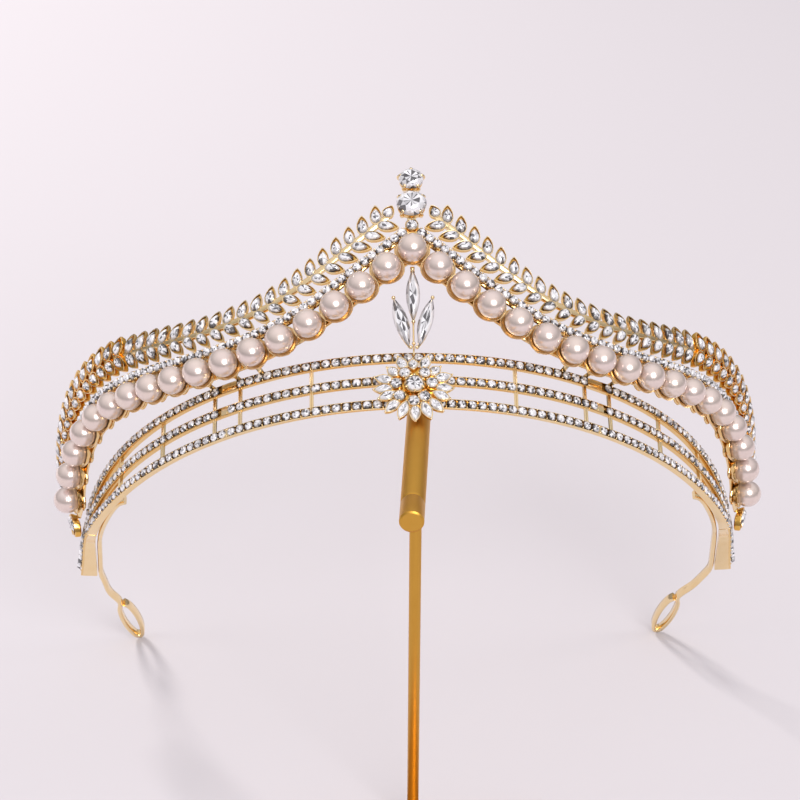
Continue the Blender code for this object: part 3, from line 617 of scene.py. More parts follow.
def painted_facet_reflections(template, count, rng, contrast=0.27, dark=0.22):
    """Painted reflections of many copies: facets that look down the wall are painted brighter, and a few are
    painted dark by chance.
    """
    points, faces, _, darker = template
    tones = []
    for group, loss in zip(faces, darker):
        centres = points[group].mean(axis=1)
        lean = centres[:, 1] / max(float(np.abs(points[:, 1]).max()), 1e-9)
        tone = 0.86 - 0.20 * lean - loss + rng.normal(0.0, contrast, (count, len(group)))
        tone = np.where(rng.random(tone.shape) < dark, tone * 0.12, tone)
        tones.append(np.clip(tone, 0.02, 1.0).ravel())
    return np.concatenate(tones)


CUP = (
    # share of the radius, share of the height, how deep the place is, as its share of painted shade
    (0.72, 0.00, 0.7),
    (0.98, 0.25, 0.5),
    (1.00, 0.90, 0.2),
    (0.95, 1.00, 0.0),
    (0.88, 0.94, 0.3),
    (0.80, 0.55, 1.0),
)


def cup(outline):
    """A stone's cup over an outline: it opens upwards, has a thin rim and a sunk floor."""
    return stack(outline, CUP)


def bead(count=8):
    """A small ball of radius 1: rings at equal angles from pole to pole, closed by small caps."""
    angle = np.linspace(-0.92, 0.92, 6) * math.pi / 2
    return stack(circle(count), np.c_[np.cos(angle), np.sin(angle), np.zeros(len(angle))])


def claw_beads(shell, places, way, count, claw, sides=6):
    """Beads about these places, at equal turns from the way. A claw is its reach, lift and radius."""
    reach, lift, radius = claw
    for corner in range(count):
        turn = np.asarray(way + (corner + 0.5) * math.tau / count)
        step = np.stack((np.cos(turn) * reach, np.sin(turn) * reach, np.full_like(turn, lift)), -1)
        shell.copies(bead(sides), places + step, 0.0, radius)


def rounded_bar(half_wide, half_tall, corner):
    """Section of a bar with cut corners, as eight points."""
    a, b, c = half_wide, half_tall, corner
    return np.array(((a - c, -b), (a, -b + c), (a, b - c), (a - c, b),
                     (-a + c, b), (-a, b - c), (-a, -b + c), (-a + c, -b)))


def bar_between(shell, start, end, half_wide, half_tall, corner):
    """A straight bar in the flat layout from start to end, with a section across it and one out of it."""
    start, end = np.asarray(start, dtype=float), np.asarray(end, dtype=float)
    along = (end - start)[:2] / np.linalg.norm((end - start)[:2])
    across = np.array((-along[1], along[0], 0.0))
    section = rounded_bar(half_wide, half_tall, corner)
    offsets = section[:, :1] * across + section[:, 1:] * np.array((0.0, 0.0, 1.0))
    shares = np.linspace(0, 1, 4)[:, None, None]
    shell.sweep(start + (end - start) * shares + offsets[None])


# Finishes, with painted shade in the metal and painted reflections in the stones

def group_tree(name, inputs, outputs):
    """A new node group with these inputs (name, kind, default) and outputs (name, kind)."""
    tree = bpy.data.node_groups.new(name, "ShaderNodeTree")
    for label, kind, default in inputs:
        socket = tree.interface.new_socket(name=label, in_out="INPUT", socket_type=kind)
        socket.default_value = default
    for label, kind in outputs:
        tree.interface.new_socket(name=label, in_out="OUTPUT", socket_type=kind)
    return tree, tree.nodes.new("NodeGroupInput"), tree.nodes.new("NodeGroupOutput")


def node(tree, kind, **values):
    """A new node with some of its settings."""
    made = tree.nodes.new(kind)
    for label, value in values.items():
        setattr(made, label, value)
    return made


def metal_group():
    """Metal with painted shade: deep in colour in its recesses and painted near black between the stones of
    the rows, where shade falls; uneven in colour and gloss, and finely scratched.
    """
    found = bpy.data.node_groups.get("metal with painted shade")
    if found:
        return found
    tree, given, put = group_tree(
        "metal with painted shade",
        (("Bright", "NodeSocketColor", (1, 1, 1, 1)), ("Shaded", "NodeSocketColor", (1, 1, 1, 1)),
         ("Dark", "NodeSocketColor", (0, 0, 0, 1)), ("Roughness", "NodeSocketFloat", 0.2),
         ("Scratches", "NodeSocketFloat", 0.1), ("Scale", "NodeSocketFloat", 900.0)),
        (("Color", "NodeSocketColor"), ("Roughness", "NodeSocketFloat"), ("Normal", "NodeSocketVector")))
    link = tree.links.new
    # painted shade: each point's depth share mixes the bright gold towards the painted shade colour, and past
    # 1 towards the painted shadow colour
    depth = node(tree, "ShaderNodeAttribute", attribute_name="depth")
    place = node(tree, "ShaderNodeTexCoord")
    cloud = node(tree, "ShaderNodeTexNoise")
    cloud.inputs["Scale"].default_value = 260.0
    cloud.inputs["Detail"].default_value = 3.0
    link(place.outputs["Object"], cloud.inputs["Vector"])
    uneven = node(tree, "ShaderNodeMath", operation="MULTIPLY_ADD")
    uneven.inputs[1].default_value = 0.5
    uneven.inputs[2].default_value = -0.22
    link(cloud.outputs["Fac"], uneven.inputs[0])
    share = node(tree, "ShaderNodeMath", operation="ADD", use_clamp=True)
    link(depth.outputs["Fac"], share.inputs[0])
    link(uneven.outputs[0], share.inputs[1])
    colour = node(tree, "ShaderNodeMix", data_type="RGBA")
    link(share.outputs[0], colour.inputs["Factor"])
    link(given.outputs["Bright"], colour.inputs["A"])
    link(given.outputs["Shaded"], colour.inputs["B"])
    past = node(tree, "ShaderNodeMath", operation="SUBTRACT", use_clamp=True)
    past.inputs[1].default_value = 1.0
    link(depth.outputs["Fac"], past.inputs[0])
    shaded = node(tree, "ShaderNodeMix", data_type="RGBA")
    link(past.outputs[0], shaded.inputs["Factor"])
    link(colour.outputs["Result"], shaded.inputs["A"])
    link(given.outputs["Dark"], shaded.inputs["B"])
    link(shaded.outputs["Result"], put.inputs["Color"])
    stretch = node(tree, "ShaderNodeMapping")
    stretch.inputs["Scale"].default_value = (1.0, 0.25, 1.0)
    link(place.outputs["Object"], stretch.inputs["Vector"])
    fine = node(tree, "ShaderNodeTexNoise")
    fine.inputs["Detail"].default_value = 4.0
    link(stretch.outputs["Vector"], fine.inputs["Vector"])
    link(given.outputs["Scale"], fine.inputs["Scale"])
    dull = node(tree, "ShaderNodeMath", operation="MULTIPLY_ADD")
    link(fine.outputs["Fac"], dull.inputs[0])
    link(given.outputs["Scratches"], dull.inputs[1])
    link(given.outputs["Roughness"], dull.inputs[2])
    link(dull.outputs[0], put.inputs["Roughness"])
    bump = node(tree, "ShaderNodeBump")
    bump.inputs["Distance"].default_value = 0.00002
    link(given.outputs["Scratches"], bump.inputs["Strength"])
    link(fine.outputs["Fac"], bump.inputs["Height"])
    link(bump.outputs["Normal"], put.inputs["Normal"])
    return tree


def painted_facet_group():
    """Facets that go from dark to light by the tone of each face: the stones' painted reflections."""
    found = bpy.data.node_groups.get("painted facet reflections")
    if found:
        return found
    tree, given, put = group_tree(
        "painted facet reflections",
        (("Dark", "NodeSocketColor", (0, 0, 0, 1)), ("Light", "NodeSocketColor", (1, 1, 1, 1))),
        (("Color", "NodeSocketColor"),))
    tone = node(tree, "ShaderNodeAttribute", attribute_name="tone")
    colour = node(tree, "ShaderNodeMix", data_type="RGBA")
    tree.links.new(tone.outputs["Fac"], colour.inputs["Factor"])
    tree.links.new(given.outputs["Dark"], colour.inputs["A"])
    tree.links.new(given.outputs["Light"], colour.inputs["B"])
    tree.links.new(colour.outputs["Result"], put.inputs["Color"])
    return tree


def new_material(name):
    """A new material with its tree and its shader."""
    material = bpy.data.materials.new(name)
    material.use_nodes = True
    return material, material.node_tree, material.node_tree.nodes["Principled BSDF"]


def metal(name, bright, deep, roughness, scratches, scale):
    """A metal in these colours: bright where lit, with the deep colour as painted shade."""
    found = bpy.data.materials.get(name)
    if found:
        return found
    material, tree, shader = new_material(name)
    shader.inputs["Metallic"].default_value = 1.0
    finish = node(tree, "ShaderNodeGroup", node_tree=metal_group())
    finish.inputs["Bright"].default_value = (*bright, 1.0)
    finish.inputs["Shaded"].default_value = (*deep, 1.0)
    finish.inputs["Dark"].default_value = (*colours().shadow_gold, 1.0)
    finish.inputs["Roughness"].default_value = roughness
    finish.inputs["Scratches"].default_value = scratches
    finish.inputs["Scale"].default_value = scale
    tree.links.new(finish.outputs["Color"], shader.inputs["Base Color"])
    tree.links.new(finish.outputs["Roughness"], shader.inputs["Roughness"])
    tree.links.new(finish.outputs["Normal"], shader.inputs["Normal"])
    return material


def polished_gold():
    """Gold of the tiara."""
    return metal("polished_gold", colours().gold, colours().painted_shade_gold, 0.13, 0.10, 1400.0)


def satin_gold():
    """Brushed gold of the stand."""
    bright = np.array(colours().satin_gold)
    # painted shade: the deep colour is the satin gold darkened; the stand's meshes have no depth, so only the
    # chance clouds mix a little of it in
    return metal("satin_gold", bright, bright * (0.8, 0.72, 0.6), 0.36, 0.12, 2200.0)


def foiled_stone():
    """Cut glass with foil behind it: facets painted in many tones, as painted reflections, under a clear
    gloss.
    """
    found = bpy.data.materials.get("foiled_stone")
    if found:
        return found
    material, tree, shader = new_material("foiled_stone")
    shader.inputs["Metallic"].default_value = 0.25
    shader.inputs["Roughness"].default_value = 0.12
    shader.inputs["Coat Weight"].default_value = 0.6
    shader.inputs["Coat Roughness"].default_value = 0.03
    facets = node(tree, "ShaderNodeGroup", node_tree=painted_facet_group())
    facets.inputs["Dark"].default_value = (*colours().stone_dark, 1.0)
    facets.inputs["Light"].default_value = (*colours().stone_light, 1.0)
    tree.links.new(facets.outputs["Color"], shader.inputs["Base Color"])
    return material


def pearl_lustre():
    """Pearl: an ivory ball with faint clouds of colour under a soft gloss."""
    found = bpy.data.materials.get("pearl_lustre")
    if found:
        return found
    material, tree, shader = new_material("pearl_lustre")
    shader.inputs["Metallic"].default_value = 0.75
    shader.inputs["Roughness"].default_value = 0.26
    shader.inputs["Coat Weight"].default_value = 0.4
    shader.inputs["Coat Roughness"].default_value = 0.3
    shader.inputs["Sheen Weight"].default_value = 0.15
    shader.inputs["Sheen Roughness"].default_value = 0.4
    place = node(tree, "ShaderNodeTexCoord")
    cloud = node(tree, "ShaderNodeTexNoise")
    cloud.inputs["Scale"].default_value = 170.0
    cloud.inputs["Detail"].default_value = 1.0
    tree.links.new(place.outputs["Object"], cloud.inputs["Vector"])
    tint = node(tree, "ShaderNodeMix", data_type="RGBA")
    ivory = np.array(colours().pearl)
    tint.inputs["A"].default_value = (*(ivory * (1.0, 0.97, 1.0)), 1.0)
    tint.inputs["B"].default_value = (*(ivory * (1.02, 1.02, 0.94)), 1.0)
    tree.links.new(cloud.outputs["Fac"], tint.inputs["Factor"])
    tree.links.new(tint.outputs["Result"], shader.inputs["Base Color"])
    return material


# Band

ROW_SECTION = (
    # share of the half height, which level it lies at, how deep the place is as a share of painted shade;
    # past 1 the floor is painted as shadow between the stones
    (-0.90, "back", 0.4),
    (0.90, "back", 0.4),
    (1.00, "shoulder", 0.15),
    (1.00, "wall", 0.1),
    (0.94, "rim", 0.0),
    (0.84, "rim", 0.1),
    (0.80, "floor", 1.55),
    (-0.80, "floor", 1.55),
    (-0.84, "rim", 0.1),
    (-0.94, "rim", 0.0),
    (-1.00, "wall", 0.1),
    (-1.00, "shoulder", 0.15),
)
# how much painted shade is added to the walls of each row: the upper two rows are painted as in shade
WALL_PAINTED_SHADE = {1: 0.4, 0: 0.4, -1: 0.0}
STONE_RISE = 0.00062
STONE_SINK = 0.68
END_STONE_RISE = 1.2
RIM_SINK = 0.00022
FLOOR_SINK = 0.00068
SHOULDER = 0.0002
WALL_SINK = RIM_SINK * 1.6
STONE_SCATTER = 0.00003
STONE_SPREAD = (0.95, 1.02)
CLAW_PLACE = 0.74
CLAW_SINK = RIM_SINK * 0.5
PATCH_SHARE = 0.86
PATCH_SINK = RIM_SINK * 0.4
PATCH_DEEP = FLOOR_SINK * 1.2
PATCH_CORNER = 0.0001
PATCH_FLAT = 0.7
POST_SPACING = 0.00044
POST_PLACE = 0.55
POST_HALF_WIDTH = 0.00019
POST_HALF_DEPTH = 0.25
POST_CORNER = 0.00008
# the plates start just before the outer rows end, and stand just over the middle row's channel
PLATE_OVERLAP = 0.0001
PLATE_COVER = 0.00006
PLATE_SINK = FLOOR_SINK * 0.9
PLATE_CORNER = 0.00015


def row_rings(row, stations):
    """A row's channel: its section carried along the band, deeper and prouder towards the end."""
    height = row_height(row, stations)
    proud = row_proud(stations)
    depth = channel_depth(stations)
    levels = {
        "back": -depth,
        "shoulder": -depth + SHOULDER,
        "wall": proud - WALL_SINK,
        "rim": proud - RIM_SINK,
        "floor": proud - FLOOR_SINK,
    }
    return flat_rings(stations, [(height + share * ROW_HEIGHT / 2, levels[level])
                                 for share, level, _ in ROW_SECTION])


def row_last(row):
    """Where a row of stones ends: at the band's end, or where the outer rows reach the middle one."""
    if row == 0:
        return BAND_END - ROW_HEIGHT / 2
    return HALF_BAND * (1 - ROW_HEIGHT * PATCH_SHARE / ROW_PITCH) ** (1 / ROW_MEETING_POWER)


class TIARA_OT_band(bpy.types.Operator):
    """Make the three rows with their stones, the posts between them and the end plates"""

    bl_idname = "tiara.make_band"
    bl_label = "Band"

    def execute(self, context):
        gold = Shell()
        claws = Shell()
        stones = Shell()
        rng = np.random.default_rng(11)
        radius = sizes().row_stone / 2
        pitch = sizes().row_stone_pitch
        painted_shades = np.array([part[2] for part in ROW_SECTION])
        template = small_stone(circle(8, 0.5))
        claw = bead(6)
        for row in (-1, 0, 1):
            last = row_last(row)
            reach = last + ROW_HEIGHT / 2 * (row == 0)
            # painted shade: all but the floor of the upper rows get more of it
            walls = np.where(painted_shades < 1, painted_shades + WALL_PAINTED_SHADE[row], painted_shades)
            gold.sweep(row_rings(row, np.linspace(-reach, reach, 241)), walls)
            for side in (-1, 1):
                at = side * np.arange(pitch / 2, last, pitch)
                low, high = PLAIN_STRETCHES[row]
                held = (np.abs(at) < low) | (np.abs(at) > high)
                at = at[held]
                top = row_proud(at)
                height = row_height(row, at)
                lift = rng.normal(0, STONE_SCATTER, len(at))
                rise = STONE_RISE * (1 + END_STONE_RISE * end_share(at) ** 8)
                place = np.stack((at, height, top - STONE_RISE * STONE_SINK + lift), -1)
                turns = rng.uniform(0, math.tau, len(at))
                wide = radius * rng.uniform(*STONE_SPREAD, len(at))
                scale = np.stack((wide, wide, rise), -1)
                stones.copies(template, place, turns, scale, painted_facet_reflections(template, len(at), rng))
                for edge in (-1, 1):
                    spot = np.stack((at + side * pitch / 2, height + edge * radius * CLAW_PLACE,
                                     top - CLAW_SINK), -1)
                    claws.copies(claw, spot, 0.0, sizes().row_claw / 2)
                middle = side * (low + high) / 2
                plain = np.linspace(side * low, side * high, 6)
                self.plain_patch(gold, row, plain, middle)
        self.add_posts(gold)
        self.add_plates(gold)
        piece("band_rows", gold.mesh("band_rows", 0.0), polished_gold(), ("band",), 35)
        piece("band_claws", claws.mesh("band_claws", 0.0), polished_gold(), (), 60)
        piece("band_stones", stones.mesh("band_stones", 0.0), foiled_stone())
        return {"FINISHED"}

    def plain_patch(self, gold, row, stations, middle):
        """A plain gold stretch that fills the channel where the row holds no stone."""
        half = ROW_HEIGHT / 2 * PATCH_SHARE
        height = row_height(row, stations)
        top = row_proud(middle) - PATCH_SINK
        low = row_proud(middle) - PATCH_DEEP
        rim = top - PATCH_CORNER
        section = ((-1, low), (1, low), (1, rim), (PATCH_FLAT, top), (-PATCH_FLAT, top), (-1, rim))
        gold.sweep(flat_rings(stations, [(height + edge * half, level) for edge, level in section]))

    def add_posts(self, gold):
        """Upright bars from the lowest to the highest row, behind the middle one."""
        for side in (-1, 1):
            for station in POST_STATIONS:
                s = side * station * HALF_BAND
                depth = float(channel_depth(s))
                low, high = float(row_height(-1, s)), float(row_height(1, s))
                for share in (-0.5, 0.5):
                    x = s + share * POST_SPACING
                    bar_between(gold, (x, low, -depth * POST_PLACE), (x, high, -depth * POST_PLACE),
                                POST_HALF_WIDTH, depth * POST_HALF_DEPTH, POST_CORNER)

    def add_plates(self, gold):
        """The plain plates at the ends: half height is the outer row's edge, out to the band's end."""
        for side in (-1, 1):
            s = np.linspace(row_last(1) - PLATE_OVERLAP, BAND_END, 30)
            tall = row_height(1, s) + ROW_HEIGHT / 2 + PLATE_COVER
            deep = -channel_depth(s) - PLATE_COVER
            face = row_proud(s) - PLATE_SINK
            section = soft_section(-tall, tall, deep, face, PLATE_CORNER)
            # a little painted shade over the whole plate
            gold.sweep(flat_rings(side * s, section), 0.1)


# Crown

DISH_RADIUS = 0.00335
DISH_BACK = 0.0033
DISH_HEIGHT = 0.0017
DISH = (
    # share of the radius, share of the height, how deep the place is, as its share of painted shade
    (0.45, 0.00, 1.0),
    (0.80, 0.35, 0.7),
    (0.96, 0.78, 0.5),
    (1.00, 0.95, 0.6),
    (0.985, 1.00, 0.3),
    (0.945, 0.99, 0.0),
    (0.92, 0.86, 0.1),
    (0.78, 0.80, 0.2),
    (0.68, 0.74, 0.6),
    (0.40, 0.30, 1.0),
    (0.15, 0.10, 1.0),
)
BALL_RINGS = 19
BALL_SIDES = 32
STRIP_PAST_LAST = 0.24
STRIP_CORNER = 0.00015
# painted shade over the whole strip behind the pearls
STRIP_PAINTED_SHADE = 0.35
LUG_BAR = (0.0006, 0.0004, 0.00015)
LUG_FOOT_OVERLAP = 0.0002
LUG_HEAD_UNDER = 0.001
LUG_FOOT_OUT = -0.0004
LUG_HEAD_OUT = 0.0003


def square_to_wall(points):
    """Turn points so that they stand square on the leaning wall: with a lean k, y goes to
    (y - k z) / sqrt(1 + k k) and z to sqrt(1 + k k) z, which undoes the shear of the layout."""
    stretch = math.sqrt(1 + CROWN_LEAN ** 2)
    x, y, z = points.T
    return np.stack((x, (y - CROWN_LEAN * z) / stretch, z * stretch), -1)


def ball():
    """A ball of radius 1: rings at equal angles, and a fan at each pole."""
    angle = np.linspace(-1, 1, BALL_RINGS + 2)[1:-1] * math.pi / 2
    body = stack(circle(BALL_SIDES), np.c_[np.cos(angle), np.sin(angle), np.zeros(BALL_RINGS)])[0]
    south, north = len(body), len(body) + 1
    i = np.arange(BALL_SIDES)
    after = (i + 1) % BALL_SIDES
    top = south - BALL_SIDES
    fans = np.concatenate((np.stack((after, i, np.full_like(i, south)), -1),
                           np.stack((top + i, top + after, np.full_like(i, north)), -1)))
    points = np.concatenate((body, ((0, 0, -1.0), (0, 0, 1.0))))
    return points, [grid_faces(BALL_RINGS, BALL_SIDES), fans]


class TIARA_OT_pearls(bpy.types.Operator):
    """Make the pearls and the scalloped strip of cups behind them"""

    bl_idname = "tiara.make_pearls"
    bl_label = "Pearls"

    def execute(self, context):
        self.make_strip()
        stations = pearl_stations()
        points, faces = ball()
        for number, (station, height) in enumerate(zip(stations, pearl_height(stations))):
            for side in SIDES:
                if number == 0 and side == "left":
                    continue
                name = "pearl_peak" if number == 0 else "pearl_%s_%02d" % (side, number)
                place = wall_place((SIDES[side] * station, height, PEARL_OUT), CROWN_LEAN)
                pearl = Shell()
                pearl.add(points * PEARL_DIAMETER / 2 + place, faces)
                piece("round_" + name, pearl.mesh(name), pearl_lustre(), (name,), 80)
        return {"FINISHED"}

    def make_strip(self):
        """The strip, a dish behind each pearl, and the lugs down to the top row. Above the pearls the
        strip keeps its distance. Below each pearl its edge follows a circle about it."""
        gold = Shell()
        stations = pearl_stations()
        last = stations[-1]
        run = np.linspace(0, last + PEARL_DIAMETER * STRIP_PAST_LAST, 700)
        steps = np.interp(run, stations, np.arange(len(stations)))
        steps = np.where(run > last, len(stations) - 1 + (run - last) / PEARL_DIAMETER, steps)
        distance = np.abs(steps - np.round(steps)) * (PEARL_DIAMETER + PEARL_SPACE)
        reach = np.maximum(np.sqrt(np.maximum(CUP_LIP ** 2 - distance ** 2, 0)), STRIP_NECK)
        low_s, low_w = beside_pearls(run, -reach)
        top_s, top_w = beside_pearls(run, STRIP_TOP)
        order = np.argsort(low_s)
        s = np.linspace(-run[-1], run[-1], 701)
        low = np.interp(np.abs(s), low_s[order], low_w[order])
        top = np.interp(np.abs(s), top_s, top_w)
        section = soft_section(low, top, STRIP_OUT, STRIP_OUT + STRIP_THICKNESS, STRIP_CORNER)
        gold.sweep(flat_rings(s, section), STRIP_PAINTED_SHADE)
        points, faces, depth = stack(circle(28), DISH)
        sized = points * (DISH_RADIUS, DISH_RADIUS, DISH_HEIGHT) - (0, 0, DISH_BACK)
        at = np.concatenate((-stations[:0:-1], stations))
        place = np.stack((at, pearl_height(np.abs(at)), np.full_like(at, PEARL_OUT)), -1)
        gold.copies((square_to_wall(sized), faces, depth), place)
        for side in (-1, 1):
            for station in LUG_STATIONS:
                s_lug = side * station * HALF_BAND
                foot = float(row_height(1, s_lug)) + ROW_HEIGHT / 2 - LUG_FOOT_OVERLAP
                head = float(pearl_height(abs(s_lug))) - LUG_HEAD_UNDER
                bar_between(gold, (s_lug, foot, LUG_FOOT_OUT - CROWN_LEAN * foot),
                            (s_lug, head, STRIP_OUT + LUG_HEAD_OUT), *LUG_BAR)
        piece("pearl_cups", gold.mesh("pearl_cups", CROWN_LEAN), polished_gold(),
              ("pearl_strip",), 40)


LEDGE = (
    # share of the stones' radius across the chain, place out of the wall
    (-0.95, 0.0016),
    (0.95, 0.0016),
    (0.95, 0.0021),
    (0.80, 0.0022),
    (-0.80, 0.0022),
    (-0.95, 0.0021),
)
# painted shade over the whole ledge under the chain of crystals
LEDGE_PAINTED_SHADE = 0.6
CHAIN_START = 1.9
CHAIN_PITCH = 2.1
CHAIN_OUT = 0.0020
CHAIN_CUP = (1.08, 0.0009)
CHAIN_STONE = (0.0007, 0.0008)
CHAIN_CLAWS = (1.02, 0.00095, 0.0002)
PEAK_STONE_ABOVE = 0.0056
PEAK_STONE_OUT = 0.0019
PEAK_CUP = (0.00125, 0.00125, 0.0011)
PEAK_STONE_LIFT = 0.0006
PEAK_STONE = (0.0011, 0.0011, 0.0010)


class TIARA_OT_crystals(bpy.types.Operator):
    """Make the chain of small stones along the pearls' upper side"""

    bl_idname = "tiara.make_crystals"
    bl_label = "Crystal chain"

    def execute(self, context):
        gold = Shell()
        stones = Shell()
        rng = np.random.default_rng(23)
        radius = sizes().crystal / 2
        last = HALF_BAND * CRYSTAL_END
        template = small_stone(circle(8, 0.5))
        s = np.linspace(-last, last, 401)
        ledge = [(line_height(s, CRYSTAL_OFFSET + share * radius), out) for share, out in LEDGE]
        gold.sweep(flat_rings(s, ledge), LEDGE_PAINTED_SHADE)
        at = even_stations(radius * CHAIN_START, radius * CHAIN_PITCH, last - radius, CRYSTAL_OFFSET)
        share, cup_height = CHAIN_CUP
        lift, rise = CHAIN_STONE
        claw_share, claw_lift, claw_radius = CHAIN_CLAWS
        for side in (-1, 1):
            place = np.stack((side * at, line_height(at, CRYSTAL_OFFSET), np.full_like(at, CHAIN_OUT)), -1)
            gold.copies(cup(circle(10)), place, 0.0, (radius * share, radius * share, cup_height))
            turns = rng.uniform(0, math.tau, len(at))
            stones.copies(template, place + (0, 0, lift), turns, (radius, radius, rise),
                          painted_facet_reflections(template, len(at), rng))
            way = way_to_peak(side * at, CRYSTAL_OFFSET)
            claw_beads(gold, place, way, 4, (radius * claw_share, claw_lift, claw_radius))
        # one larger stone under the finial
        peak = np.array((0.0, CROWN_RISE + PEAK_STONE_ABOVE, PEAK_STONE_OUT))
        big = cut_stone(circle(16))
        gold.copies(cup(circle(16)), peak, 0.0, PEAK_CUP)
        stones.copies(big, peak + (0, 0, PEAK_STONE_LIFT), 0.0, PEAK_STONE, painted_facet_reflections(big, 1, rng))
        piece("crystal_settings", gold.mesh("crystal_settings", CROWN_LEAN), polished_gold(), (), 40)
        piece("crystal_stones", stones.mesh("crystal_stones", CROWN_LEAN), foiled_stone(),
              ("crystal_row",))
        return {"FINISHED"}


LEAF = (
    # share of the outline, share of the height, how deep the place is, as its share of painted shade
    (0.66, 0.00, 1.0),
    (0.92, 0.20, 0.9),
    (1.00, 0.80, 0.6),
    (0.98, 1.00, 0.0),
    (0.87, 0.98, 0.0),
    (0.80, 0.60, 1.0),
)
LEAF_FOOT = 0.0015
LEAF_HEIGHT = 0.0010
LEAF_SPREAD = 0.75
LEAF_TURN_SPREAD = 0.035
LEAF_STONE_PLACE = 0.43
LEAF_STONE_LENGTH = 0.72
LEAF_STONE_RISE = 0.0008
LEAF_STONE_SINK = 0.0003
SIDE_LEAF_START = 0.6
# painted shade added to the leaf cups at the sides
SIDE_LEAF_PAINTED_SHADE = 0.45
SIDE_LEAF_HEIGHT = 1.6
SIDE_STONE_SHARE = 0.86
FIRST_LEAF_LENGTH = 0.7
END_LEAF_STEP = 0.0034
END_LEAF_SIZE = 1.1
END_LEAF_TURNS = (-0.7, 0.0, 0.6)
STEM_OUT = 0.0019
STEM_HALF_THICKNESS = 0.0005
STEM_CORNER = 0.00014
STALK_BAR = (0.0006, 0.0004, 0.0001)


class TIARA_OT_laurel(bpy.types.Operator):
    """Make the two laurel branches: stems, pointed leaf cups and a stone in each leaf"""

    bl_idname = "tiara.make_laurel"
    bl_label = "Laurel"

    def execute(self, context):
        for number, side in enumerate(SIDES):
            gold = Shell()
            stones = Shell()
            rng = np.random.default_rng(31 + number)
            self.add_stem(gold, SIDES[side])
            last = HALF_BAND - sizes().stem_width
            at = SIDES[side] * even_stations(BRANCH_START + FIRST_PAIR, LEAF_PITCH, last, STEM_OFFSET)
            length = sizes().leaf_length
            self.add_leaves(gold, stones, at, UPPER_LEAF_TURN, length, rng)
            self.add_leaves(gold, stones, at, -LOWER_LEAF_TURN, length, rng)
            first = np.array((SIDES[side] * (BRANCH_START + sizes().stem_width / 2),))
            self.add_leaves(gold, stones, first, END_LEAF_TURN, length * FIRST_LEAF_LENGTH, rng)
            self.add_end_leaves(gold, stones, SIDES[side], length, rng)
            name = "laurel_" + side
            piece(name + "_gold", gold.mesh(name, CROWN_LEAN), polished_gold(), (name,), 40)
            piece(name + "_stones", stones.mesh(name, CROWN_LEAN), foiled_stone())
        return {"FINISHED"}

    def add_stem(self, gold, side):
        """The stem: a bar with cut corners that keeps its distance above the pearls' line."""
        s = np.linspace(BRANCH_START, HALF_BAND, 160)
        section = rounded_bar(sizes().stem_width / 2, STEM_HALF_THICKNESS, STEM_CORNER)
        # a little painted shade over the whole stem
        gold.sweep(flat_rings(side * s, [(line_height(s, STEM_OFFSET + across), STEM_OUT + out)
                                         for across, out in section]), 0.1)

    def add_leaves(self, gold, stones, s, turn, length, rng):
        """Leaves from the stem at this turn from the way to the peak, larger towards the sides."""
        way = way_to_peak(s, STEM_OFFSET) + np.where(s < 0, turn, -turn)
        size = 1 + (spread(np.abs(s)) - 1) * LEAF_SPREAD
        root = np.stack((s, line_height(s, STEM_OFFSET), np.full_like(s, LEAF_FOOT)), -1)
        self.add_cups(gold, stones, root, way, size, length, rng)

    def add_end_leaves(self, gold, stones, side, length, rng):
        """A short stalk below the last pearl and the leaves that fan out from its end."""
        last = pearl_stations()[-1]
        start = last + STRIP_LIP / 2
        end = last + END_LEAF_STEP
        root = np.array(((side * end, float(pearl_height(end)), LEAF_FOOT),))
        stalk = (side * start, float(pearl_height(start)), STRIP_OUT + STRIP_THICKNESS)
        bar_between(gold, stalk, root[0], *STALK_BAR)
        down = way_to_peak(root[:, 0], 0.0) + math.pi
        for turn in END_LEAF_TURNS:
            self.add_cups(gold, stones, root, down + side * turn, np.array((END_LEAF_SIZE,)), length, rng)

    def add_cups(self, gold, stones, root, way, size, length, rng):
        """Leaf cups from these roots, each with a stone shaped like it. At the sides they are taller and
        carry more painted shade, and their stones are smaller."""
        s = root[:, 0]
        along = np.stack((np.cos(way), np.sin(way), np.zeros_like(way)), -1) * (length * size)[:, None]
        turns = way + rng.normal(0, LEAF_TURN_SPREAD, len(s))
        points, faces, depth = stack(teardrop(14), LEAF)
        at_side = np.abs(s) > SIDE_LEAF_START * HALF_BAND
        tall = LEAF_HEIGHT * np.where(at_side, SIDE_LEAF_HEIGHT, 1.0)
        scale = np.stack((length * size / 2, sizes().leaf_width * size ** 2 / 2, tall), -1)
        for held, added_shade in ((~at_side, 0.0), (at_side, SIDE_LEAF_PAINTED_SHADE)):
            if held.any():
                leaf = (points, faces, np.minimum(depth + added_shade, 1))
                gold.copies(leaf, (root + along / 2)[held], turns[held], scale[held])
        stone = small_stone(teardrop(10), table=0.55)
        spot = root + along * LEAF_STONE_PLACE
        spot[:, 2] += tall - LEAF_STONE_SINK
        cut = size * np.where(at_side, SIDE_STONE_SHARE, 1.0)
        scale = np.stack((length * cut * LEAF_STONE_LENGTH / 2, sizes().leaf_stone * cut / 2,
                          np.full_like(s, LEAF_STONE_RISE)), -1)
        stones.copies(stone, spot, turns, scale, painted_facet_reflections(stone, len(s), rng))


FINIAL_OUT = 0.0014
FINIAL_CUP = (0.94, 0.30)
FINIAL_STONE = (0.98, 0.36)
FINIAL_STONE_SEAT = 0.22
FINIAL_STONE_TURN = 0.16
FINIAL_BAR = (0.0008, 0.0004, 0.0001)
FINIAL_BAR_OUT = 0.0018
FINIAL_BAR_BELOW = 0.0008
CLAW_PATH = (
    # share of the radius outwards, share of the claw's height, radius of the wire
    (0.62, 0.00, 0.00036),
    (0.84, 0.20, 0.00036),
    (1.00, 0.55, 0.00033),
    (1.06, 1.00, 0.00030),
    (0.98, 1.50, 0.00028),
    (0.86, 1.72, 0.00025),
)
CLAW_HEIGHT = 0.42
CLAW_BALL = 0.00038


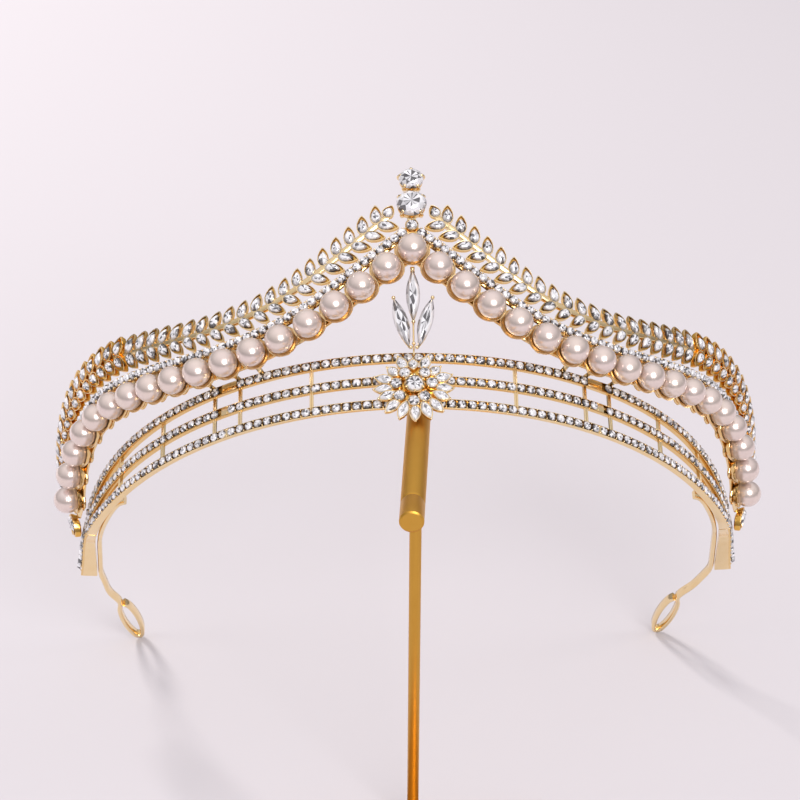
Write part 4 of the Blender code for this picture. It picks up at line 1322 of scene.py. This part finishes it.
class TIARA_OT_finial(bpy.types.Operator):
    """Make the two round stones over the peak and the claws that hold them"""

    bl_idname = "tiara.make_finial"
    bl_label = "Finial"

    def execute(self, context):
        gold = Shell()
        rng = np.random.default_rng(5)
        template = cut_stone(circle(20), middle=0.82)
        for name, height, diameter, angles in FINIAL_STONES:
            radius = diameter / 2
            place = np.array((0.0, height, FINIAL_OUT))
            wide, tall = radius * FINIAL_CUP[0], diameter * FINIAL_CUP[1]
            gold.copies(cup(circle(28)), place, 0.0, (wide, wide, tall))
            wide, tall = radius * FINIAL_STONE[0], diameter * FINIAL_STONE[1]
            stone = Shell()
            stone.copies(template, place + (0, 0, diameter * FINIAL_STONE_SEAT), FINIAL_STONE_TURN,
                         (wide, wide, tall), painted_facet_reflections(template, 1, rng, 0.2, 0.2))
            cut = "finial_stone_" + name
            piece(cut + "_cut", stone.mesh(cut, CROWN_LEAN), foiled_stone(), (cut,))
            for angle in np.radians(angles):
                self.add_claw(gold, place, radius, angle)
        foot = FINIAL_STONES[0][1] - FINIAL_STONES[0][2] / 2 - FINIAL_BAR_BELOW
        bar_between(gold, (0, foot, FINIAL_BAR_OUT), (0, FINIAL_STONES[1][1], FINIAL_BAR_OUT), *FINIAL_BAR)
        piece("finial_claws", gold.mesh("finial_claws", CROWN_LEAN), polished_gold(),
              ("finial_setting",), 45)
        return {"FINISHED"}

    def add_claw(self, gold, place, radius, angle):
        """A claw: round sections from the cup's foot out past the girdle and in over it, with a ball."""
        path = np.array(CLAW_PATH)
        thick = path[:, 2]
        path = path[:, :2] * (1.0, CLAW_HEIGHT)
        way = np.array((math.cos(angle), math.sin(angle), 0.0))
        across = np.array((-way[1], way[0], 0.0))
        out = np.array((0, 0, 1.0))
        spine = place + path[:, :1] * radius * way + path[:, 1:] * radius * out
        along = np.gradient(path, axis=0)
        along /= np.linalg.norm(along, axis=1)[:, None]
        normal = (-along[:, 1:] * way + along[:, :1] * out)[:, None]
        ring = circle(8)[None]
        gold.sweep(spine[:, None] + thick[:, None, None] * (ring[..., :1] * across + ring[..., 1:] * normal))
        gold.copies(bead(10), spine[-1], 0.0, CLAW_BALL)


LILY_OUT = 0.0019
LILY_STEM_BAR = (0.00018, 0.0003, 0.00006)
LILY_STEM_OUT = (0.0012, 0.0015)
LILY_STEM_PAST = 0.0006
LILY_TOP_BAR = (0.0004, 0.0004, 0.0001)
LILY_TOP_OUT = 0.0010
LILY_TOP_START = 0.0008
LILY_CUP = (0.88, 0.0009)
LILY_STONE = (0.96, 0.0013)
LILY_STONE_LIFT = 0.0003
LILY_BALL = 0.0004
LILY_BALL_LIFT = 0.0005
LILY_FOOT_BALL = 0.00038
LILY_FOOT_BALLS = ((-0.0006, 0.0, 0.0006), (0.0006, 0.0, 0.0006), (0.0, 0.0008, 0.0006))


class TIARA_OT_lily(bpy.types.Operator):
    """Make the three long pointed stones under the peak and the frame that holds them"""

    bl_idname = "tiara.make_lily"
    bl_label = "Lily"

    def execute(self, context):
        gold = Shell()
        rng = np.random.default_rng(8)
        template = cut_stone(lens(20), table=0.5, middle=0.74, dimple=0.25)
        lift = np.array((0, 0, LILY_STONE_LIFT))
        _, middle_tail, middle_tip, _ = LILY_PETALS[0]
        foot = ROW_PITCH - ROW_HEIGHT / 2
        bar_between(gold, (0, foot, LILY_STEM_OUT[0]),
                    (0, middle_tail[1] + LILY_STEM_PAST, LILY_STEM_OUT[1]), *LILY_STEM_BAR)
        top = float(pearl_height(0.0)) - STRIP_LIP - GAP
        bar_between(gold, (0, middle_tip[1] - LILY_TOP_START, LILY_OUT), (0, top, LILY_TOP_OUT),
                    *LILY_TOP_BAR)
        for name, tail, tip, width in LILY_PETALS:
            tail, tip = np.array((*tail, LILY_OUT)), np.array((*tip, LILY_OUT))
            middle = (tail + tip) / 2
            along = tip - tail
            half = float(np.linalg.norm(along)) / 2
            turn = math.atan2(along[1], along[0])
            gold.copies(cup(lens(20)), middle - lift, turn, (half, width / 2 * LILY_CUP[0], LILY_CUP[1]))
            stone = Shell()
            stone.copies(template, middle + lift, turn, (half * LILY_STONE[0], width / 2, LILY_STONE[1]),
                         painted_facet_reflections(template, 1, rng, 0.26, 0.22))
            cut = "lily_petal_" + name
            piece(cut + "_cut", stone.mesh(cut, CROWN_LEAN), foiled_stone(), (cut,))
            for end in (tip, tail) if name == "middle" else (tip,):
                gold.copies(bead(8), end + (0, 0, LILY_BALL_LIFT), 0.0, LILY_BALL)
        bottom = np.array((0.0, LILY_PETALS[1][1][1], LILY_OUT))
        for spot in LILY_FOOT_BALLS:
            gold.copies(bead(8), bottom + spot, 0.0, LILY_FOOT_BALL)
        piece("lily_setting", gold.mesh("lily_setting", CROWN_LEAN), polished_gold(),
              ("lily_frame",), 45)
        return {"FINISHED"}


FLOWER_BACK = GAP * 1.4
FLOWER_PLATE = (0.0050, 0.0050, 0.0006)
FLOWER_PLATE_LEVELS = (
    # share of the radius, share of the height, how deep the place is, as its share of painted shade: the
    # whole plate under the petals is painted shade
    (0.9, 0.0, 1.0),
    (1.0, 0.2, 1.0),
    (1.0, 0.8, 1.0),
    (0.9, 1.0, 1.0),
)
PETAL_INNER = 0.0038
PETAL_FOOT = 0.0002
PETAL_STEP = 0.00035
PETAL_CUP = (0.0012, 0.0010)
PETAL_STONE_LENGTH = 0.93
PETAL_STONE = (0.00108, 0.0009)
PETAL_STONE_LIFT = 0.0006
PETAL_BALL = 0.00026
PETAL_BALL_LIFT = 0.0010
RING_FOOT = 0.0004
RING_CUP = (0.00132, 0.00132, 0.0015)
RING_STONE = (0.00122, 0.00122, 0.0010)
RING_STONE_LIFT = 0.0010
RING_CLAWS = (0.00122, 0.0016, 0.00022)
CENTRE_FOOT = 0.0006
CENTRE_CUP = (0.0021, 0.0021, 0.0016)
CENTRE_CLAWS = (0.0019, 0.0018, 0.00030)
CENTRE_STONE = (0.0019, 0.0019, 0.0016)
CENTRE_STONE_LIFT = 0.0008
CENTRE_STONE_TURN = 0.1


class TIARA_OT_flower(bpy.types.Operator):
    """Make the flower at the band's middle: its plate, petals, ring of stones and centre stone"""

    bl_idname = "tiara.make_flower"
    bl_label = "Flower"

    def execute(self, context):
        gold = Shell()
        stones = Shell()
        rng = np.random.default_rng(17)
        middle = np.array((0.0, FLOWER_HEIGHT, FLOWER_BACK))
        gold.copies(stack(circle(28), FLOWER_PLATE_LEVELS), middle, 0.0, FLOWER_PLATE)
        self.add_petals(gold, stones, middle, rng)
        self.add_ring(gold, stones, middle, rng)
        seat = middle + (0, 0, CENTRE_FOOT)
        gold.copies(cup(circle(24)), seat, 0.0, CENTRE_CUP)
        claw_beads(gold, seat, 0.0, 6, CENTRE_CLAWS, 8)
        piece("flower_gold", gold.mesh("flower_gold", 0.0), polished_gold(), ("flower",), 45)
        piece("flower_stones", stones.mesh("flower_stones", 0.0), foiled_stone())
        centre = Shell()
        template = cut_stone(circle(20), middle=0.82)
        centre.copies(template, seat + (0, 0, CENTRE_STONE_LIFT), CENTRE_STONE_TURN, CENTRE_STONE,
                      painted_facet_reflections(template, 1, rng, 0.2, 0.16))
        piece("flower_stone_cut", centre.mesh("flower_stone_cut", 0.0), foiled_stone(),
              ("flower_stone",))
        return {"FINISHED"}

    def add_petals(self, gold, stones, middle, rng):
        """Pointed petals, every second one a step higher, each with a stone and a ball at its tip."""
        template = cut_stone(lens(12), table=0.5, middle=0.76, dimple=0.2)
        for number, (angle, reach) in enumerate(FLOWER_PETALS):
            turn = math.radians(angle)
            way = np.array((math.cos(turn), math.sin(turn), 0.0))
            half = (reach - PETAL_INNER) / 2
            spot = middle + way * (reach + PETAL_INNER) / 2 + (0, 0, PETAL_FOOT + PETAL_STEP * (number % 2))
            gold.copies(stack(lens(14), LEAF), spot, turn, (half, *PETAL_CUP))
            half *= PETAL_STONE_LENGTH
            stones.copies(template, spot + (0, 0, PETAL_STONE_LIFT), turn, (half, *PETAL_STONE),
                          painted_facet_reflections(template, 1, rng, 0.20, 0.08))
            gold.copies(bead(7), spot + way * half + (0, 0, PETAL_BALL_LIFT), 0.0, PETAL_BALL)

    def add_ring(self, gold, stones, middle, rng):
        """The round stones about the centre, each with its cup and four claws."""
        template = cut_stone(circle(16))
        for angle, distance in FLOWER_RING:
            turn = math.radians(angle)
            spot = middle + (distance * math.cos(turn), distance * math.sin(turn), RING_FOOT)
            gold.copies(cup(circle(16)), spot, 0.0, RING_CUP)
            stones.copies(template, spot + (0, 0, RING_STONE_LIFT), turn, RING_STONE,
                          painted_facet_reflections(template, 1, rng, 0.24, 0.2))
            claw_beads(gold, spot, turn, 4, RING_CLAWS)


# End wires and stand

WIRE_BENDS = (0.35, 0.7)
WIRE_CORNER = 0.00022
LOOP_START = -70
LOOP_SWEEP = 330
LOOP_STEPS = 16


def smooth_path(points, count):
    """A curve through the points: a cubic spline for each coordinate over the length so far."""
    points = np.asarray(points, dtype=float)
    way = np.concatenate(((0,), np.cumsum(np.linalg.norm(np.diff(points, axis=0), axis=1))))
    way /= way[-1]
    at = np.linspace(0, 1, count)
    return np.stack([curve_through(list(zip(way, column)), at) for column in points.T], -1)


def wire_route(inward):
    """The right end wire as points (across, back, w): inside the band behind the lowest row, straight
    on, and round its open loop. The inner end curls away from the band by an exponential."""
    s = np.linspace(WIRE_START, BAND_END, 30)
    inset = row_depth(s) + GAP + WIRE_THICKNESS / 2 + WIRE_CURL * np.exp(-(s - WIRE_START) / WIRE_CURL)
    across, back, heading = band_plan(s)
    inside = np.stack((across - inset * np.sin(heading), back + inset * np.cos(heading),
                       row_height(-1, s) * WIRE_DROP), -1)
    end = inside[-1, :2]
    share = np.array(WIRE_BENDS)
    lean = share * share * (3 - 2 * share)
    free = np.stack((end[0] - inward * lean, end[1] + WIRE_RUN * share), -1)
    turn = math.pi / 2 + LOOP_TURN
    along = np.array((math.cos(turn), math.sin(turn)))
    sideways = np.array((-along[1], along[0]))
    middle = end + (-inward, WIRE_RUN) + along * LOOP_LENGTH / 2 + sideways * LOOP_WIDTH / 2
    angle = np.radians(LOOP_START + LOOP_SWEEP * np.arange(LOOP_STEPS + 1) / LOOP_STEPS)[:, None]
    half = (LOOP_LENGTH - WIRE_THICKNESS) / 2
    loop = middle + np.sin(angle) * along * half - np.cos(angle) * sideways * LOOP_WIDTH / 2
    rest = np.concatenate((free, loop))
    return np.concatenate((inside, np.c_[rest, np.zeros(len(rest))]))


class TIARA_OT_wires(bpy.types.Operator):
    """Make the two end wires with their open loops"""

    bl_idname = "tiara.make_wires"
    bl_label = "End wires"

    def execute(self, context):
        section = rounded_bar(WIRE_THICKNESS / 2, WIRE_TALL / 2, WIRE_CORNER)
        section += (0, (WIRE_TALL - WIRE_HEIGHT) / 2)
        for side in SIDES:
            path = smooth_path(wire_route(WIRE_INWARD[side]), 220)
            along = np.gradient(path[:, :2], axis=0)
            along /= np.linalg.norm(along, axis=1)[:, None]
            across = np.stack((along[:, 1], -along[:, 0]), -1)
            rings = []
            for thick, tall in section:
                at = path[:, :2] + across * thick
                rings.append(plane_place(SIDES[side] * at[:, 0], at[:, 1], path[:, 2] + tall))
            gold = Shell()
            # a little painted shade over the whole wire
            gold.sweep(np.stack(rings, 1), 0.05)
            name = "end_wire_" + side
            piece(name + "_smooth", gold.mesh(name), polished_gold(), (name,), 50)
        return {"FINISHED"}


ARM_CORNER = 0.0004
GROOVE_HALF_WIDTH = 0.0006
GROOVE_INNER = 0.00025
GROOVE_SHOULDER = 0.00012
GROOVE_DEPTH = 0.00022
ARM_PROFILE = (
    # end or groove that it is measured from, step along the arm, how far inside the arm's radius
    ("back", 0.0, ARM_CORNER),
    ("back", ARM_CORNER * 0.25, ARM_CORNER * 0.5),
    ("back", ARM_CORNER, 0.0),
    ("groove", -GROOVE_HALF_WIDTH, 0.0),
    ("groove", -GROOVE_INNER, GROOVE_SHOULDER),
    ("groove", 0.0, GROOVE_DEPTH),
    ("groove", GROOVE_INNER, GROOVE_SHOULDER),
    ("groove", GROOVE_HALF_WIDTH, 0.0),
    ("front", -ARM_CORNER * 0.6, 0.0),
    ("front", 0.0, ARM_CORNER * 0.9),
    ("front", 0.0, ARM_CORNER * 1.3),
)
POLE_END_SHARE = 0.94
POLE_CORNER = 0.0002


class TIARA_OT_stand(bpy.types.Operator):
    """Make the stand's arm and pole, and finish its foot"""

    bl_idname = "tiara.make_stand"
    bl_label = "Stand"

    def execute(self, context):
        radius = ARM_DIAMETER / 2
        low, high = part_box("stand_arm")
        height = (low[2] + high[2]) / 2
        start = {"back": -ARM_REACH, "groove": ARM_REACH - ARM_GROOVE_PLACE, "front": ARM_REACH}
        ring = circle(64)
        rings = np.stack([np.stack((ring[:, 0] * (radius - inside), np.full(64, -start[mark] - step),
                                    ring[:, 1] * (radius - inside)), -1)
                          for mark, step, inside in ARM_PROFILE])
        turn = Matrix.Rotation(ARM_TURN, 3, "Z")
        arm = Shell()
        arm.sweep(rings @ np.array(turn).T + (0, 0, height))
        piece("stand_arm_turned", arm.mesh("stand_arm_turned"), satin_gold(), ("stand_arm",), 30)
        bottom, top = (corner[2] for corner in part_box("stand_pole"))
        half = POLE_DIAMETER / 2
        pole = Shell()
        pole.sweep(np.stack([np.c_[circle(32) * reach, np.full(32, z)] for z, reach in (
            (bottom, half * POLE_END_SHARE), (bottom + POLE_CORNER, half),
            (top - POLE_CORNER, half), (top, half * POLE_END_SHARE))]))
        piece("stand_pole_turned", pole.mesh("stand_pole_turned"), satin_gold(), ("stand_pole",), 30)
        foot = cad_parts["stand_foot"]
        foot.data.materials.clear()
        foot.data.materials.append(satin_gold())
        return {"FINISHED"}


# Stage

class TIARA_OT_stage(bpy.types.Operator):
    """Make the floor, the lights, the surroundings and the camera"""

    bl_idname = "tiara.make_stage"
    bl_label = "Stage"

    def execute(self, context):
        self.make_floor()
        self.make_lights(context)
        self.make_camera(context)
        return {"FINISHED"}

    def make_floor(self):
        """A wide flat square at the foot's underside."""
        half = 3.0
        mesh = bpy.data.meshes.new("floor")
        mesh.from_pydata(((-half, -half, 0), (half, -half, 0), (half, half, 0), (-half, half, 0)), (),
                         ((0, 1, 2, 3),))
        floor = bpy.data.objects.new("floor", mesh)
        bpy.context.scene.collection.objects.link(floor)
        material, tree, shader = new_material("pale_floor")
        shader.inputs["Base Color"].default_value = (*colours().floor, 1.0)
        shader.inputs["Roughness"].default_value = 0.9
        shader.inputs["Specular IOR Level"].default_value = 0.1
        mesh.materials.append(material)

    def make_lights(self, context):
        """A bright panel at the back left, three dim ones of which only the glint shows in reflections,
        and surroundings that brighten upwards."""
        world = bpy.data.worlds.new("studio")
        context.scene.world = world
        world.use_nodes = True
        tree = world.node_tree
        background = tree.nodes["Background"]
        direction = node(tree, "ShaderNodeTexCoord")
        parts = node(tree, "ShaderNodeSeparateXYZ")
        tree.links.new(direction.outputs["Generated"], parts.inputs["Vector"])
        climb = node(tree, "ShaderNodeMapRange")
        climb.inputs["From Min"].default_value = -0.1
        climb.inputs["From Max"].default_value = 1.0
        climb.inputs["To Min"].default_value = 0.13
        climb.inputs["To Max"].default_value = 0.95
        tree.links.new(parts.outputs["Z"], climb.inputs["Value"])
        tree.links.new(climb.outputs["Result"], background.inputs["Strength"])
        background.inputs["Color"].default_value = (0.98, 0.95, 0.98, 1.0)
        panels = (
            # name, place, size, power, colour
            ("key", (-0.55, 0.75, 0.75), 0.26, 9.0, (1.0, 0.97, 0.93)),
            ("sparkle", (0.22, -0.66, 0.64), 0.42, 4.4, (1.0, 1.0, 1.0)),
            ("right", (0.9, 0.1, 0.35), 0.3, 1.4, (1.0, 0.97, 0.94)),
            ("left", (-0.9, -0.1, 0.35), 0.3, 1.4, (0.98, 0.98, 1.0)),
        )
        aim = Vector((0.0, 0.06, 0.07))
        for name, place, size, power, colour in panels:
            light = bpy.data.lights.new(name, "AREA")
            light.size = size
            light.energy = power
            light.color = colour
            lamp = bpy.data.objects.new(name, light)
            context.scene.collection.objects.link(lamp)
            lamp.location = place
            lamp.visible_glossy = name == "sparkle"
            lamp.rotation_euler = (aim - lamp.location).to_track_quat("-Z", "Y").to_euler()
        context.scene.view_settings.view_transform = "Standard"

    def make_camera(self, context):
        """The camera: its axes are the drop and the yaw as one turn, then the roll about its view."""
        drop, yaw = CAMERA_DROP, CAMERA_YAW
        forward = np.array((-math.cos(drop) * math.sin(yaw), math.cos(drop) * math.cos(yaw), -math.sin(drop)))
        right = np.array((math.cos(yaw), math.sin(yaw), 0.0))
        up = np.cross(right, forward)
        place = FRONT - CAMERA_DISTANCE * forward + CAMERA_RIGHT * right + CAMERA_UP * up
        rolled_right = right * math.cos(CAMERA_ROLL) - up * math.sin(CAMERA_ROLL)
        rolled_up = right * math.sin(CAMERA_ROLL) + up * math.cos(CAMERA_ROLL)
        data = bpy.data.cameras.new("camera")
        data.sensor_width = 36.0
        data.lens = CAMERA_LENS
        data.clip_start = 0.01
        camera = bpy.data.objects.new("camera", data)
        context.scene.collection.objects.link(camera)
        turn = Matrix((rolled_right, rolled_up, -forward)).transposed().to_4x4()
        turn.translation = place
        camera.matrix_world = turn
        context.scene.camera = camera


class TIARA_PT_tools(bpy.types.Panel):
    """Sizes, colours and buttons of the tiara"""

    bl_label = "Tiara"
    bl_idname = "TIARA_PT_tools"
    bl_space_type = "VIEW_3D"
    bl_region_type = "UI"
    bl_category = "Tiara"

    def draw(self, context):
        for group in (context.scene.tiara_sizes, context.scene.tiara_colours):
            box = self.layout.box()
            for label in group.bl_rna.properties.keys():
                if label not in ("rna_type", "name"):
                    box.prop(group, label)
        for operator in OPERATORS:
            self.layout.operator(operator.bl_idname)


OPERATORS = (TIARA_OT_stage, TIARA_OT_band, TIARA_OT_pearls, TIARA_OT_crystals, TIARA_OT_laurel,
             TIARA_OT_finial, TIARA_OT_lily, TIARA_OT_flower, TIARA_OT_wires, TIARA_OT_stand)
CLASSES = (TiaraSizes, TiaraColours, *OPERATORS, TIARA_PT_tools)


def register():
    """Register the classes and the two groups of settings."""
    for kind in CLASSES:
        bpy.utils.register_class(kind)
    bpy.types.Scene.tiara_sizes = PointerProperty(type=TiaraSizes)
    bpy.types.Scene.tiara_colours = PointerProperty(type=TiaraColours)


def unregister():
    """Remove the settings and the classes."""
    del bpy.types.Scene.tiara_colours
    del bpy.types.Scene.tiara_sizes
    for kind in reversed(CLASSES):
        bpy.utils.unregister_class(kind)


def main():
    """Dress the tiara."""
    register()
    for operator in OPERATORS:
        group, name = operator.bl_idname.split(".")
        getattr(getattr(bpy.ops, group), name)()


if __name__ == "__main__":
    main()
